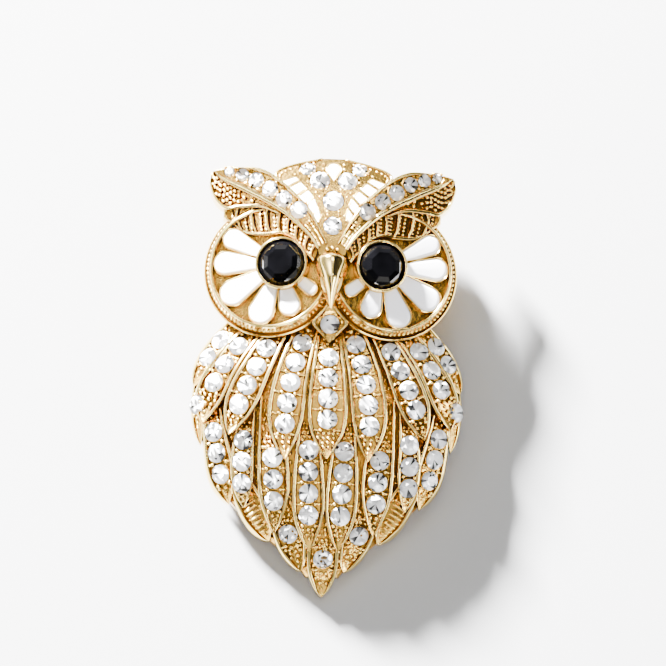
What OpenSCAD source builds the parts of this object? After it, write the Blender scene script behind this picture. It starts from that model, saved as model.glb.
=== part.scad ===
// Owl brooch: one gold plated casting with a hollow back, set with cut stones and white enamel,
// with a plain bar pin across its back. All lengths are in millimetres.
// The casting is drawn with its back rim at height 0, then tipped to lie on its tail and its pin.

/* [Brooch] */
// Length of the brooch, twice that from the middle of its breast to the tip of its tail
brooch_length = 56; // [55:0.25:58.5]
// Width over the wing feathers
body_width = 34; // [33.5:0.25:36]
// Width over the two ear tufts
ear_width = 32; // [31.5:0.25:33.5]
// Height of the breast over the back rim
breast_height = 6.5; // [6:0.1:7]
// Height of the edge round the body
edge_height = 1.2; // [1:0.1:1.5]
// Thickness of the casting's wall
wall = 1.5; // [1.3:0.1:1.7]

/* [Feathers] */
// Raise of the tail feathers over the body
tail_raise = 0.42; // [0.4:0.02:0.5]
// Raise of the lower feathers over the body
lower_raise = 0.88; // [0.86:0.02:0.94]
// Raise of the breast feathers over the body
upper_raise = 1.4; // [1.36:0.02:1.5]
// Drop from each feather to the next one outwards
feather_step = 0.1; // [0.08:0.01:0.1]
// Width of the rim round each feather
feather_rim = 0.33; // [0.25:0.02:0.35]
// Depth of the bed inside that rim
feather_bed = 0.36; // [0.3:0.02:0.38]

/* [Face] */
// Outer diameter of each facial disc
disc_diameter = 17.3; // [17:0.1:17.6]
// Distance between the centres of the two discs
disc_spacing = 15.3; // [15:0.1:15.8]
// Height of a disc's floor at its centre
disc_height = 5.8; // [5.5:0.1:6.2]
// Thickness of a disc's plate
disc_plate = 2.4; // [2:0.1:2.6]
// Outward slope of each disc, in degrees
disc_slope = 12; // [9:0.5:14]
// Width of the sloping ring round each disc
ring_width = 1.3; // [1.2:0.05:1.4]
// Height of the ring's inner rim over the floor
ring_height = 0.8; // [0.6:0.05:1]
// Height of the brow ridges at the middle of the head
brow_height = 9; // [8.7:0.1:9.4]
// Height of the forehead between the brows
crown_height = 8.7; // [8.4:0.1:9]
// Width of the beak
beak_width = 4.25; // [3.8:0.05:4.5]
// Height of the beak's ridge over the back rim
beak_height = 10.5; // [10.2:0.1:11]

/* [Stones] */
// Diameter of the stones in the feathers
stone_diameter = 2.45; // [2.3:0.05:2.5]
// Clear space from one stone to the next along a feather
stone_spacing = 0.22; // [0.2:0.02:0.3]
// Diameter of the two eyes
eye_diameter = 5.8; // [5.5:0.1:6]
// Height of the eye's bezel over the disc's floor
bezel_height = 1.7; // [1.5:0.1:2]
// Wall of the eye's bezel
bezel_wall = 0.45; // [0.4:0.05:0.5]
// Clearance round each stone and each enamel cell
seat_gap = 0.05; // [0.04:0.01:0.08]
// Clearance under the stones that lie on a feather's bed
bed_gap = 0.1; // [0.08:0.01:0.14]

/* [Enamel] */
// Depth of the enamel cells
enamel_depth = 0.5; // [0.4:0.05:0.6]
// Thickness of the raised wall round each petal
petal_wall = 0.22; // [0.18:0.02:0.26]
// Width of the gold dividers between the enamel cells of the crown
divider = 0.3; // [0.25:0.05:0.4]

/* [Pin] */
// Length of the bar across the back
bar_length = 25; // [24:0.5:26]
// Width of the bar
bar_width = 3.6; // [3:0.1:4.5]
// Thickness of the bar
bar_thickness = 0.8; // [0.6:0.1:1]
// Diameter of the pin's stem
stem_diameter = 0.8; // [0.7:0.05:0.9]
// Distance from the bar to the stem's middle
stem_drop = 1.05; // [1:0.05:1.3]
// Outer diameter of the hinge barrel and of the catch
catch_diameter = 2.2; // [2.1:0.1:2.4]
// Distance from the middle to the hinge and to the catch
catch_reach = 10.2; // [9.5:0.1:10.8]

/* [Hidden] */
half_length = brooch_length / 2;
half_width = body_width / 2;
half_ears = ear_width / 2;
stone_pitch = stone_diameter + stone_spacing;

// Shape of the domed body across: power of the curve, and how full it stands
dome_power = 2.4;
dome_fullness = 0.6;
// Largest share of the width at which the dome's height is still read
dome_limit = 0.985;
// How far the raised surfaces reach past the body's edge
overhang = 0.8;
// Step used to work out how a surface slopes
slope_step = 0.05;
// How much the forehead's contours curve back beside the middle, per millimetre
crown_roll = 0.02;
// How deep the feathers and ridges reach below the surface that carries them
sink = 1.2;
// Depth of the ear slabs and brows
ridge_depth = 3;
// Height of the crown's lower edge over the back rim
crown_base = 0.4;
// Depth of the seats cut for the stones of the crown and brows
seat_depth = 0.35;
// Beds narrower than this many stones are cut back round them
bed_room = 1.26;

// Cut of a stone, as shares of its diameter
table_share = 0.29;
stone_share = 0.25;
small_facets = 8;
eye_facets = 16;

// Sections of the body, from the tail to the head
// along (share of half length), half width (share of half width), crest (share of breast height)
body_rows = [
    [-1.00, 0.06, 0.16],
    [-0.91, 0.11, 0.32],
    [-0.84, 0.23, 0.48],
    [-0.75, 0.40, 0.64],
    [-0.64, 0.61, 0.78],
    [-0.54, 0.76, 0.88],
    [-0.43, 0.86, 0.95],
    [-0.29, 0.93, 0.99],
    [-0.14, 0.95, 1.00],
    [0.00, 0.93, 0.90],
    [0.11, 0.86, 0.76],
    [0.21, 0.76, 0.62],
    [0.32, 0.66, 0.60],
    [0.46, 0.70, 0.60],
    [0.62, 0.76, 0.60],
    [0.75, 0.78, 0.56],
    [0.84, 0.70, 0.44],
    [0.90, 0.45, 0.32]
];
body_widths = [for (row = body_rows) [row[0], row[1]]];
body_crests = [for (row = body_rows) [row[0], row[2]]];
first_body_row = 1;
first_hollow_row = 2;
last_hollow_row = 15;
body_steps = [-1, -0.95, -0.8, -0.45, 0, 0.45, 0.8, 0.95, 1];
hollow_steps = [-1, -0.85, -0.5, 0, 0.5, 0.85, 1];

// Sections of the forehead and crown
// along (share of half length), half width (share of half ear width), height (share of crown height)
crown_rows = [
    [0.52, 0.10, 1.00],
    [0.59, 0.14, 0.99],
    [0.66, 0.20, 0.965],
    [0.72, 0.27, 0.94],
    [0.78, 0.34, 0.905],
    [0.84, 0.41, 0.855],
    [0.88, 0.46, 0.81],
    [0.907, 0.470, 0.775],
    [0.93, 0.41, 0.74],
    [0.954, 0.28, 0.70],
    [0.975, 0.12, 0.65],
    [0.98, 0.07, 0.62]
];
crown_heights = [for (row = crown_rows) [row[0], row[2]]];
crown_steps = [-1, -0.6, -0.2, 0.2, 0.6, 1];
last_crown_hollow = 8;

// Height of the brow ridges, from the middle of the head to the ear tips
// across (share of half ear width), height (share of brow height)
brow_heights = [
    [0.00, 1.00],
    [0.13, 0.99],
    [0.27, 0.93],
    [0.50, 0.81],
    [0.75, 0.66],
    [0.94, 0.55],
    [1.00, 0.52]
];

// Feathers of the right side. Across is a share of half width, along of half length
// root across, root along, tip across, tip along, bow, half width, first stone on the spine, stones
middle_breast = [0, 0.165, 0, -0.403, 0, 0.144, 0.186, 4];
breast_feathers = [
    [0.150, 0.215, 0.305, -0.409, 0.064, 0.132, 0.140, 5],
    [0.376, 0.193, 0.726, -0.296, 0.030, 0.118, 0.190, 4],
    [0.547, 0.200, 0.920, -0.239, 0.080, 0.109, 0.200, 3],
    [0.690, 0.215, 0.990, -0.066, 0.041, 0.082, 0.250, 2]
];
lower_feathers = [
    [0.135, -0.221, 0.105, -0.807, 0.006, 0.118, 0.245, 4],
    [0.435, -0.118, 0.367, -0.730, -0.009, 0.115, 0.460, 3],
    [0.582, -0.160, 0.596, -0.618, 0.030, 0.085, 0.350, 3],
    [0.850, -0.180, 0.707, -0.596, 0.020, 0.100, 0.240, 3],
    [0.945, -0.018, 0.930, -0.332, 0.020, 0.050, 0.420, 1]
];
middle_tail = [0, -0.700, 0, -1.000, 0, 0.118, 0.450, 1];
tail_feathers = [
    [0.335, -0.607, 0.158, -0.889, 0, 0.112, 0.430, 1],
    [0.624, -0.521, 0.402, -0.759, 0, 0.100, 0, 0]
];
// Stations along a feather's spine, and where it is widest
feather_stations = [0, 0.25, 0.5, 0.7, 0.87, 1];
feather_belly = 0.45;
feather_root = 0.85;
feather_end = 0.04;
feather_power = 0.75;

// Bands of the right brow, each a row of sections from the beak to the ear
// high edge across, high edge along, low edge across, low edge along
brow_band = [
    [0.04, 0.572, 0.12, 0.543],
    [0.10, 0.637, 0.185, 0.598],
    [0.19, 0.725, 0.29, 0.657],
    [0.30, 0.803, 0.40, 0.711],
    [0.45, 0.879, 0.54, 0.761],
    [0.60, 0.923, 0.69, 0.808],
    [0.78, 0.927, 0.86, 0.861],
    [0.88, 0.920, 0.915, 0.889],
    [0.94, 0.912, 0.945, 0.908]
];
ear_band = [
    [0.42, 0.745, 0.43, 0.708],
    [0.58, 0.805, 0.57, 0.738],
    [0.74, 0.850, 0.74, 0.738],
    [0.83, 0.875, 0.84, 0.734],
    [0.90, 0.895, 0.932, 0.779],
    [0.93, 0.912, 0.977, 0.850],
    [0.953, 0.914, 0.970, 0.885]
];
lid_band = [
    [0.10, 0.560, 0.15, 0.487],
    [0.17, 0.610, 0.21, 0.525],
    [0.30, 0.680, 0.31, 0.591],
    [0.40, 0.725, 0.40, 0.616],
    [0.55, 0.760, 0.52, 0.612],
    [0.74, 0.760, 0.69, 0.624],
    [0.86, 0.750, 0.86, 0.700]
];
brow_rim = 0.35;
brow_bed = 0.35;
ear_drop = 0.25;
lid_drop = 0.5;

// Stones of the right brow: across, along, diameter as a share of the feather stones
brow_stones = [
    [0.272, 0.726, 0.90],
    [0.394, 0.778, 0.86],
    [0.505, 0.825, 0.84],
    [0.617, 0.868, 0.80],
    [0.725, 0.893, 0.70],
    [0.828, 0.909, 0.54]
];
// Stones of the crown: side, across, along, diameter as a share of the feather stones
crown_stones = [
    [1, 0.000, 0.654, 0.94],
    [1, 0.000, 0.772, 1.06],
    [-1, 0.110, 0.872, 1.00],
    [1, 0.110, 0.872, 1.00],
    [-1, 0.206, 0.929, 0.80],
    [1, 0.206, 0.929, 0.80]
];

// Cross lines of the enamel strip beside the right brow
// inner end across, inner end along, outer end across, outer end along
strip_lines = [
    [0.306, 0.888, 0.430, 0.861],
    [0.269, 0.863, 0.360, 0.831],
    [0.206, 0.825, 0.285, 0.789],
    [0.155, 0.788, 0.211, 0.751],
    [0.120, 0.740, 0.162, 0.709],
    [0.092, 0.691, 0.120, 0.665]
];
// Enamel drop of the crown: middle of its round end, its point, and its radius
drop_middle = 0.924;
drop_point = 0.868;
drop_radius = 0.85;
drop_sides = 12;

// Petals of the right eye. Lengths are shares of the disc's radius
// angle in degrees, distance to the tip's circle, radius at the tip, radius at the eye
petals = [
    [28, 0.792, 0.145, 0.070],
    [1, 0.804, 0.166, 0.077],
    [-32, 0.808, 0.184, 0.085],
    [-70, 0.750, 0.178, 0.082],
    [-105, 0.634, 0.148, 0.080],
    [-142, 0.600, 0.086, 0.062]
];
petal_facets = 10;
// Places of the disc and of the eye on it
disc_along = 0.461;
eye_across = -0.147;
eye_along = 0.072;
// How far the bezel's foot stands nearer to the beak than the middle of the petals
bezel_shift = -0.04;
// Shift of the ring's inner circle towards the crown
ring_shift = 0.2;
// Depth of the eye's flat back under the top of its bezel
eye_sink = 0.7;
ring_facets = 36;
bezel_facets = 28;

// Sections of the beak: along (share of half length), half width, side height, ridge height, base height
beak_rows = [
    [0.268, 0.07, 0.91, 0.94, 0.88],
    [0.336, 0.44, 0.80, 1.00, 0.71],
    [0.414, 0.79, 0.77, 1.00, 0.62],
    [0.486, 1.00, 0.76, 0.94, 0.55],
    [0.532, 0.45, 0.79, 0.85, 0.55]
];
beak_shoulder = 0.4;
beak_bevel = 0.2;

// Lozenge under the beak, with a stone on it
// along (share of half length), half width (share of half width)
throat_rows = [
    [0.290, 0.030],
    [0.226, 0.132],
    [0.208, 0.132],
    [0.133, 0.008]
];
throat_stone_along = 0.210;
throat_height = 7.5;
throat_middle = 6;
throat_slope = 0.45;
throat_depth = 3;

// The pin lies across the back at this share of the half length
pin_along = 0.286;
catch_length = 1.6;
hinge_length = 3;
catch_bore = 1.2;

petal_count = len(petals);

// Heights of the surfaces
function width_at(y) = half_width * lookup(y / half_length, body_widths);
function crest_at(y) = breast_height * lookup(y / half_length, body_crests);
function dome(x, y, raise) =
    let (reach = raise > 0 ? raise + overhang : 0)
    let (share = min(abs(x) / (width_at(y) + reach), dome_limit))
    let (full = pow(1 - pow(share, dome_power), dome_fullness))
    edge_height + (crest_at(y) + raise - edge_height) * full;
function crown_top(x, y) =
    crown_height * lookup((y + crown_roll * x * x) / half_length, crown_heights);
function brow_top(x) = brow_height * lookup(abs(x) / half_ears, brow_heights);
function throat_top(y) = throat_height + throat_slope * (y - throat_middle);

function raised(raise) = function (x, y) dome(x, y, raise);
// Each tier's feathers, counted outwards from the middle, lie a step lower than the one before
function lower_at(k) = lower_raise - k * feather_step;
function upper_at(k) = upper_raise - (k + 1) * feather_step;
crown_surface = function (x, y) crown_top(x, y);
brow_surface = function (x, y) brow_top(x);
ear_surface = function (x, y) brow_top(x) - ear_drop;
lid_surface = function (x, y) brow_top(x) - lid_drop;
throat_surface = function (x, y) throat_top(y);

// Points and directions
function unit(v) = v / norm(v);
function normal_of(relief, x, y) =
    let (h = slope_step)
    unit([relief(x - h, y) - relief(x + h, y), relief(x, y - h) - relief(x, y + h), 2 * h]);
// A stone's seat: the middle of its flat back, the direction it faces, its diameter, and the width
// of its bed seen from above
function seat(relief, x, y, bed, diameter) =
    let (n = normal_of(relief, x, y))
    [[x, y, relief(x, y) - bed] + (seat_gap - seat_depth) * n, n, diameter, 0];
function mirrored(s) = [[-s[0].x, s[0].y, s[0].z], [-s[1].x, s[1].y, s[1].z], s[2], s[3]];
// A place given by its distances along the seat's own axes
function placed(s, q) =
    let (u = unit(cross([0, 1, 0], s[1])), v = cross(s[1], u))
    s[0] + q.x * u + q.y * v + q.z * s[1];

// Faces between rings of points, with flat or fanned ends
function ring_faces(n, a, b) =
    [for (i = [0:n - 1]) each [[a + i, b + i, b + (i + 1) % n], [a + i, b + (i + 1) % n, a + (i + 1) % n]]];
module loft(rings) {
    n = len(rings[0]);
    m = len(rings);
    polyhedron(
        points = [for (ring = rings) each ring],
        faces = concat(
            [[for (i = [0:n - 1]) i]],
            [for (k = [0:m - 2]) each ring_faces(n, k * n, (k + 1) * n)],
            [[for (i = [n - 1:-1:0]) (m - 1) * n + i]]
        )
    );
}

// One section of a feather or ridge: two raised rims with a lower bed between them
function section(low, high, relief, rim, bed, depth) =
    let (wide = norm(high - low))
    let (share = min(rim / wide, 0.4), dip = bed * min(1, wide / (4 * rim)))
    [
        for (c = [[0, depth], [0, 0], [share, 0], [share * 1.15, dip],
                  [1 - share * 1.15, dip], [1 - share, 0], [1, 0], [1, depth]])
            let (p = low + (high - low) * c[0])
            [p.x, p.y, relief(p.x, p.y) - c[1]]
    ];

// Feathers
function feather_chord(f) = norm([(f[2] - f[0]) * half_width, (f[3] - f[1]) * half_length]);
function spine(f, t) = [
    half_width * (f[0] + (f[2] - f[0]) * t + f[4] * 4 * t * (1 - t)),
    half_length * (f[1] + (f[3] - f[1]) * t)
];
function feather_share(t) =
    t < feather_belly
        ? feather_root + (1 - feather_root) * sin(90 * t / feather_belly)
        : max(feather_end, pow(1 - pow((t - feather_belly) / (1 - feather_belly), 2), feather_power));
function feather_section(f, relief, t, depth = 0) =
    let (c = spine(f, t), d = unit(spine(f, t + slope_step) - spine(f, t - slope_step)))
    let (side = [d.y, -d.x] * f[5] * half_width * feather_share(t))
    section(c - side, c + side, relief, feather_rim, feather_bed, depth);
module feather(f, relief, raise) {
    loft([for (t = feather_stations) feather_section(f, relief, t, raise + sink)]);
}
module both_sides() {
    children();
    mirror([1, 0, 0]) children();
}
module feathers() {
    feather(middle_tail, raised(tail_raise), tail_raise);
    feather(middle_breast, raised(upper_raise), upper_raise);
    both_sides() {
        for (f = tail_feathers)
            feather(f, raised(tail_raise), tail_raise);
        for (k = [0:len(lower_feathers) - 1])
            feather(lower_feathers[k], raised(lower_at(k)), lower_at(k));
        for (k = [0:len(breast_feathers) - 1])
            feather(breast_feathers[k], raised(upper_at(k)), upper_at(k));
    }
}

// Seats of the stones. A feather's stones lie on the flat of its bed between two stations
function station_before(t) = max([
    for (k = [0:len(feather_stations) - 2]) if (feather_stations[k] <= t) k
]);
function feather_seat(f, relief, t) =
    let (
        k = station_before(t),
        share = (t - feather_stations[k]) / (feather_stations[k + 1] - feather_stations[k]),
        behind = feather_section(f, relief, feather_stations[k]),
        ahead = feather_section(f, relief, feather_stations[k + 1]),
        inner = behind[3] + (ahead[3] - behind[3]) * share,
        outer = behind[4] + (ahead[4] - behind[4]) * share,
        n = unit(cross(outer - inner, behind[3] + behind[4] - ahead[3] - ahead[4])),
        up = n.z < 0 ? -n : n
    )
    [(inner + outer) / 2 + bed_gap * up, up, stone_diameter, norm([outer.x - inner.x, outer.y - inner.y])];
function feather_seats(f, relief) = [
    for (i = [0:1:f[7] - 1])
        feather_seat(f, relief, f[6] + i * stone_pitch / feather_chord(f))
];
function with_mirrored(list) = concat(list, [for (s = list) mirrored(s)]);
lower_seats = [
    for (k = [0:len(lower_feathers) - 1])
        feather_seats(lower_feathers[k], raised(lower_at(k)))
];
upper_seats = [
    for (k = [0:len(breast_feathers) - 1])
        feather_seats(breast_feathers[k], raised(upper_at(k)))
];
breast_seats = concat(
    feather_seats(middle_breast, raised(upper_raise)),
    with_mirrored([for (seats = upper_seats) each seats])
);
tail_seats = concat(
    feather_seats(middle_tail, raised(tail_raise)),
    with_mirrored(concat(
        [for (f = tail_feathers) each feather_seats(f, raised(tail_raise))],
        [for (seats = lower_seats) each seats]
    ))
);
crown_seats = [
    for (c = crown_stones)
        let (s = seat(crown_surface, c[1] * half_ears, c[2] * half_length, 0, c[3] * stone_diameter))
        c[0] < 0 ? mirrored(s) : s
];
brow_seats = [
    for (b = brow_stones)
        seat(brow_surface, b[0] * half_ears, b[1] * half_length, brow_bed, b[2] * stone_diameter)
];
throat_seat = seat(throat_surface, 0, throat_stone_along * half_length, feather_bed, stone_diameter);
// Stones that nearly fill the width of their bed are let into the rims beside them
function tight(s) = s[3] < bed_room * s[2];
cut_seats = concat(
    crown_seats,
    [throat_seat],
    with_mirrored(brow_seats),
    [for (s = concat(breast_seats, tail_seats)) if (tight(s)) s]
);

// Cut stones: a table and a ring of facets over a flat back
function gem_points(s, n) =
    let (r = s[2] / 2, table = s[2] * table_share, turn = 180 / n)
    concat(
        [for (i = [0:n - 1]) let (a = i * 360 / n + turn)
            placed(s, [table * cos(a), table * sin(a), s[2] * stone_share])],
        [for (i = [0:n - 1]) let (a = i * 360 / n) placed(s, [r * cos(a), r * sin(a), 0])]
    );
function gem_faces(n, a) = concat(
    [for (i = [1:n - 2]) [a, a + i + 1, a + i]],
    [for (i = [1:n - 2]) [a + n, a + n + i, a + n + i + 1]],
    [for (i = [0:n - 1]) each [
        [a + n + i, a + (i + n - 1) % n, a + i],
        [a + n + i, a + i, a + n + (i + 1) % n]
    ]]
);
module gems(seats, n) {
    polyhedron(
        points = [for (s = seats) each gem_points(s, n)],
        faces = [for (k = [0:len(seats) - 1]) each gem_faces(n, k * 2 * n)]
    );
}
module stone_pocket(s) {
    r = s[2] / 2 + seat_gap;
    turn = 360 / small_facets;
    loft([
        for (z = [-seat_gap, 1])
            [for (i = [0:small_facets - 1]) placed(s, [r * cos(i * turn), r * sin(i * turn), z])]
    ]);
}

// Body and crown
module body_shell() {
    loft([
        for (k = [first_body_row:len(body_rows) - 1])
            let (y = body_rows[k][0] * half_length, w = width_at(y))
            concat(
                [[-w, y, 0]],
                [for (s = body_steps) [s * w, y, abs(s) == 1 ? edge_height : dome(s * w, y, 0)]],
                [[w, y, 0]]
            )
    ]);
}
module body_hollow() {
    loft([
        for (k = [first_hollow_row:last_hollow_row])
            let (y = body_rows[k][0] * half_length, w = width_at(y) - wall * 1.25, c = crest_at(y) - wall)
            concat(
                [[-w, y, -1]],
                [for (s = hollow_steps) [s * w, y, c * pow(1 - pow(abs(s), dome_power), dome_fullness)]],
                [[w, y, -1]]
            )
    ]);
}
module crown_shell() {
    loft([
        for (row = crown_rows)
            let (y = row[0] * half_length, w = row[1] * half_ears)
            concat(
                [[-w, y, crown_base]],
                [for (s = crown_steps) [s * w, y, crown_top(s * w, y)]],
                [[w, y, crown_base]]
            )
    ]);
}
module crown_hollow() {
    loft([
        for (k = [1:last_crown_hollow])
            let (y = crown_rows[k][0] * half_length - wall, w = crown_rows[k][1] * half_ears - wall)
            concat(
                [[-w, y, -1]],
                [for (s = crown_steps) [s * w, y, crown_top(s * w, y) - 1.6 * wall]],
                [[w, y, -1]]
            )
    ]);
}

// Brows, ear tufts and eyelids
module ridge(rows, relief) {
    loft([
        for (row = rows)
            section(
                [row[0] * half_ears, row[1] * half_length],
                [row[2] * half_ears, row[3] * half_length],
                relief, brow_rim, brow_bed, ridge_depth
            )
    ]);
}
module brows() {
    both_sides() {
        ridge(lid_band, lid_surface);
        ridge(ear_band, ear_surface);
        ridge(brow_band, brow_surface);
    }
}

// Facial discs
module on_disc() {
    translate([disc_spacing / 2, disc_along * half_length, disc_height])
        rotate([0, disc_slope, 0])
            children();
}
module on_eye() {
    on_disc()
        translate([eye_across, eye_along] * disc_diameter / 2)
            children();
}
module on_bezel() {
    on_eye()
        translate([bezel_shift * disc_diameter / 2, 0])
            children();
}
// The plate, its sloping ring with a rim at each edge, and the floor inside it
module disc_plate_and_ring() {
    outer = disc_diameter / 2;
    inner = outer - ring_width;
    low = ring_height - ring_width;
    loft([
        for (p = [[outer, -disc_plate, 0], [outer, low + 0.25, 0], [outer - 0.35, low + 0.4, 0],
                  [outer - 0.5, low + 0.15, 0], [inner + 0.35, ring_height - 0.08, 1],
                  [inner, ring_height, 1], [inner - 0.05, 0, 1]])
            [
                for (i = [0:ring_facets - 1])
                    let (a = i * 360 / ring_facets)
                    [p[0] * cos(a), p[0] * sin(a) + ring_shift * p[2], p[1]]
            ]
    ]);
}
module petal_shape(p, grow) {
    r = disc_diameter / 2;
    near = eye_diameter / 2 + bezel_shift * r + p[3] * r;
    rotate(p[0])
        hull() {
            translate([near, 0]) circle(p[3] * r + grow, $fn = petal_facets);
            translate([p[1] * r, 0]) circle(p[2] * r + grow, $fn = petal_facets);
        }
}
// A petal's outline, drawn in by a gap and clear of the bezel by the same gap
module petal_cell(p, gap) {
    difference() {
        petal_shape(p, -gap);
        translate([bezel_shift * disc_diameter / 2, 0])
            circle(eye_diameter / 2 + bezel_wall + gap, $fn = bezel_facets);
    }
}
module facial_disc() {
    on_disc() disc_plate_and_ring();
    on_eye()
        translate([0, 0, -petal_wall])
            linear_extrude(enamel_depth + 2 * petal_wall)
                difference() {
                    for (p = petals) petal_shape(p, petal_wall);
                    for (p = petals) petal_shape(p, 0);
                }
    on_bezel()
        translate([0, 0, -petal_wall])
            cylinder(r = eye_diameter / 2 + bezel_wall, h = bezel_height + petal_wall, $fn = bezel_facets);
}
// Room for the petals, where another part of the head reaches over them
module petal_seats() {
    on_eye()
        translate([0, 0, seat_gap / 2])
            linear_extrude(enamel_depth + seat_gap)
                for (p = petals) petal_cell(p, seat_gap / 2);
}
// Bore of the bezel
module eye_bore() {
    on_bezel()
        translate([0, 0, bezel_height - eye_sink - seat_gap])
            cylinder(r = eye_diameter / 2 + seat_gap, h = eye_diameter, $fn = bezel_facets);
}

module beak() {
    half = beak_width / 2;
    loft([
        for (row = beak_rows)
            let (y = row[0] * half_length, w = row[1] * half)
            let (side = row[2] * beak_height, ridge_z = row[3] * beak_height, base = row[4] * beak_height)
            [
                [-w * 0.7, y, base], [-w, y, side], [-w * beak_shoulder, y, ridge_z - beak_bevel * row[1]],
                [0, y, ridge_z], [w * beak_shoulder, y, ridge_z - beak_bevel * row[1]],
                [w, y, side], [w * 0.7, y, base]
            ]
    ]);
}

// Enamel of the crown: a patch that follows the forehead between two depths
module crown_patch(outline, top, bottom) {
    n = len(outline);
    middle = [for (axis = [0, 1]) [for (p = outline) p[axis]] * [for (p = outline) 1 / n]];
    all_points = concat(outline, [middle]);
    polyhedron(
        points = concat(
            [for (p = all_points) [p.x, p.y, crown_top(p.x, p.y) - top]],
            [for (p = all_points) [p.x, p.y, crown_top(p.x, p.y) - bottom]]
        ),
        faces = [
            for (i = [0:n - 1])
                let (j = (i + 1) % n)
                each [[i, j, n], [n + 1 + i, 2 * n + 1, n + 1 + j],
                      [i, n + 1 + i, n + 1 + j], [i, n + 1 + j, j]]
        ]
    );
}
function line_end(k, side) =
    [strip_lines[k][2 * side] * half_ears, strip_lines[k][2 * side + 1] * half_length];
// Corners of one cell, drawn in from its cross lines by half a divider and from its sides by an edge
function strip_cell(k, edge) = [
    for (c = [[0, 0], [0, 1], [1, 1], [1, 0]])
        let (
            here = line_end(k + c[0], c[1]),
            along = unit(line_end(k + 1 - c[0], c[1]) - here),
            inward = unit(line_end(k + c[0], 1 - c[1]) - here)
        )
        here + along * (divider / 2 + edge) + inward * edge
];
function drop_outline(grow) =
    let (r = drop_radius + grow, y = drop_middle * half_length)
    concat(
        [for (i = [0:drop_sides]) let (a = 200 - i * 220 / drop_sides) [r * cos(a), y + r * sin(a)]],
        [[0, drop_point * half_length - grow]]
    );

module throat() {
    loft([
        for (row = throat_rows)
            let (y = row[0] * half_length, w = row[1] * half_width)
            section([w, y], [-w, y], throat_surface, feather_rim, feather_bed, throat_depth)
    ]);
}

module casting_body() {
    body_shell();
    crown_shell();
    feathers();
    brows();
    both_sides() facial_disc();
    throat();
    beak();
}
module casting() {
    color("gold")
        posed()
            difference() {
                casting_body();
                body_hollow();
                crown_hollow();
                both_sides() {
                    eye_bore();
                    petal_seats();
                }
                for (s = cut_seats) stone_pocket(s);
                both_sides()
                    for (k = [0:len(strip_lines) - 2])
                        crown_patch(strip_cell(k, 0), -1, enamel_depth + seat_gap);
                crown_patch(drop_outline(seat_gap), -1, enamel_depth + seat_gap);
            }
}

// Loose pieces
module side_of(side) {
    mirror([side < 0 ? 1 : 0, 0, 0]) children();
}
eye_seat = [[0, 0, bezel_height - eye_sink], [0, 0, 1], eye_diameter];
module eye(side) {
    color("black") posed() side_of(side) on_bezel() gems([eye_seat], eye_facets);
}
module petal(side, i) {
    color("white")
        posed()
            side_of(side)
                on_eye()
                    translate([0, 0, seat_gap])
                        linear_extrude(enamel_depth) petal_cell(petals[i - 1], seat_gap);
}
module crown_drop() {
    color("white") posed() crown_patch(drop_outline(0), -seat_gap, enamel_depth);
}
module crown_enamel(side) {
    color("white")
        posed()
            side_of(side)
                for (k = [0:len(strip_lines) - 2])
                    crown_patch(strip_cell(k, seat_gap), -seat_gap, enamel_depth);
}
module crown_stone(i) {
    color("lightgray") posed() gems([crown_seats[i - 1]], small_facets);
}
module brow_stone(side, i) {
    color("lightgray") posed() side_of(side) gems([brow_seats[i - 1]], small_facets);
}
module throat_stone() {
    color("lightgray") posed() gems([throat_seat], small_facets);
}
module breast_stones() {
    color("lightgray") posed() gems(breast_seats, small_facets);
}
module tail_stones() {
    color("lightgray") posed() gems(tail_seats, small_facets);
}

// Bar pin: bar, hinge barrel, closed stem and catch in one plain piece
pin_y = pin_along * half_length;
bar_top = -seat_gap;
stem_z = bar_top - bar_thickness - stem_drop;
module pin_back() {
    radius = catch_diameter / 2;
    color("gold")
        posed()
            translate([0, pin_y, 0]) {
                translate([0, 0, bar_top - bar_thickness])
                    linear_extrude(bar_thickness) {
                        square([bar_length - bar_width, bar_width], center = true);
                        for (side = [-1, 1])
                            translate([side * (bar_length - bar_width) / 2, 0]) circle(bar_width / 2, $fn = 48);
                    }
                translate([-catch_reach - hinge_length / 2, 0, stem_z]) {
                    rotate([0, 90, 0]) cylinder(r = radius, h = hinge_length, $fn = 48);
                    translate([0, -radius, 0])
                        cube([hinge_length, catch_diameter, stem_drop + bar_thickness / 2]);
                }
                translate([catch_reach - catch_length / 2, 0, stem_z])
                    difference() {
                        union() {
                            rotate([0, 90, 0]) cylinder(r = radius, h = catch_length, $fn = 48);
                            translate([0, -radius * 0.7, 0])
                                cube([catch_length, catch_diameter * 0.7, stem_drop + bar_thickness / 2]);
                        }
                        translate([-1, 0, 0])
                            rotate([0, 90, 0]) cylinder(r = catch_bore / 2, h = catch_length + 2, $fn = 48);
                    }
                translate([-catch_reach, 0, stem_z])
                    rotate([0, 90, 0]) {
                        cylinder(r = stem_diameter / 2, h = 2 * catch_reach, $fn = 32);
                        translate([0, 0, 2 * catch_reach])
                            cylinder(r1 = stem_diameter / 2, r2 = 0.1, h = 1.2, $fn = 32);
                    }
            }
}

// Resting pose: the tail's tip and the pin's barrels touch what it lies on
tail_top = dome(0, -half_length, tail_raise);
tail_under = tail_top - tail_raise - sink;
rest_run = pin_y + half_length;
rest_drop = tail_under - stem_z;
rest_angle = atan2(rest_drop, rest_run) + asin(catch_diameter / 2 / norm([rest_run, rest_drop]));
rest_lift = half_length * sin(rest_angle) - tail_under * cos(rest_angle);
crown_end = crown_rows[len(crown_rows) - 1][0] * half_length;
rest_shift = ((half_length - crown_end) * cos(rest_angle) + (tail_top + crown_base) * sin(rest_angle)) / 2;
module posed() {
    translate([0, rest_shift, rest_lift]) rotate([rest_angle, 0, 0]) children();
}

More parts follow.
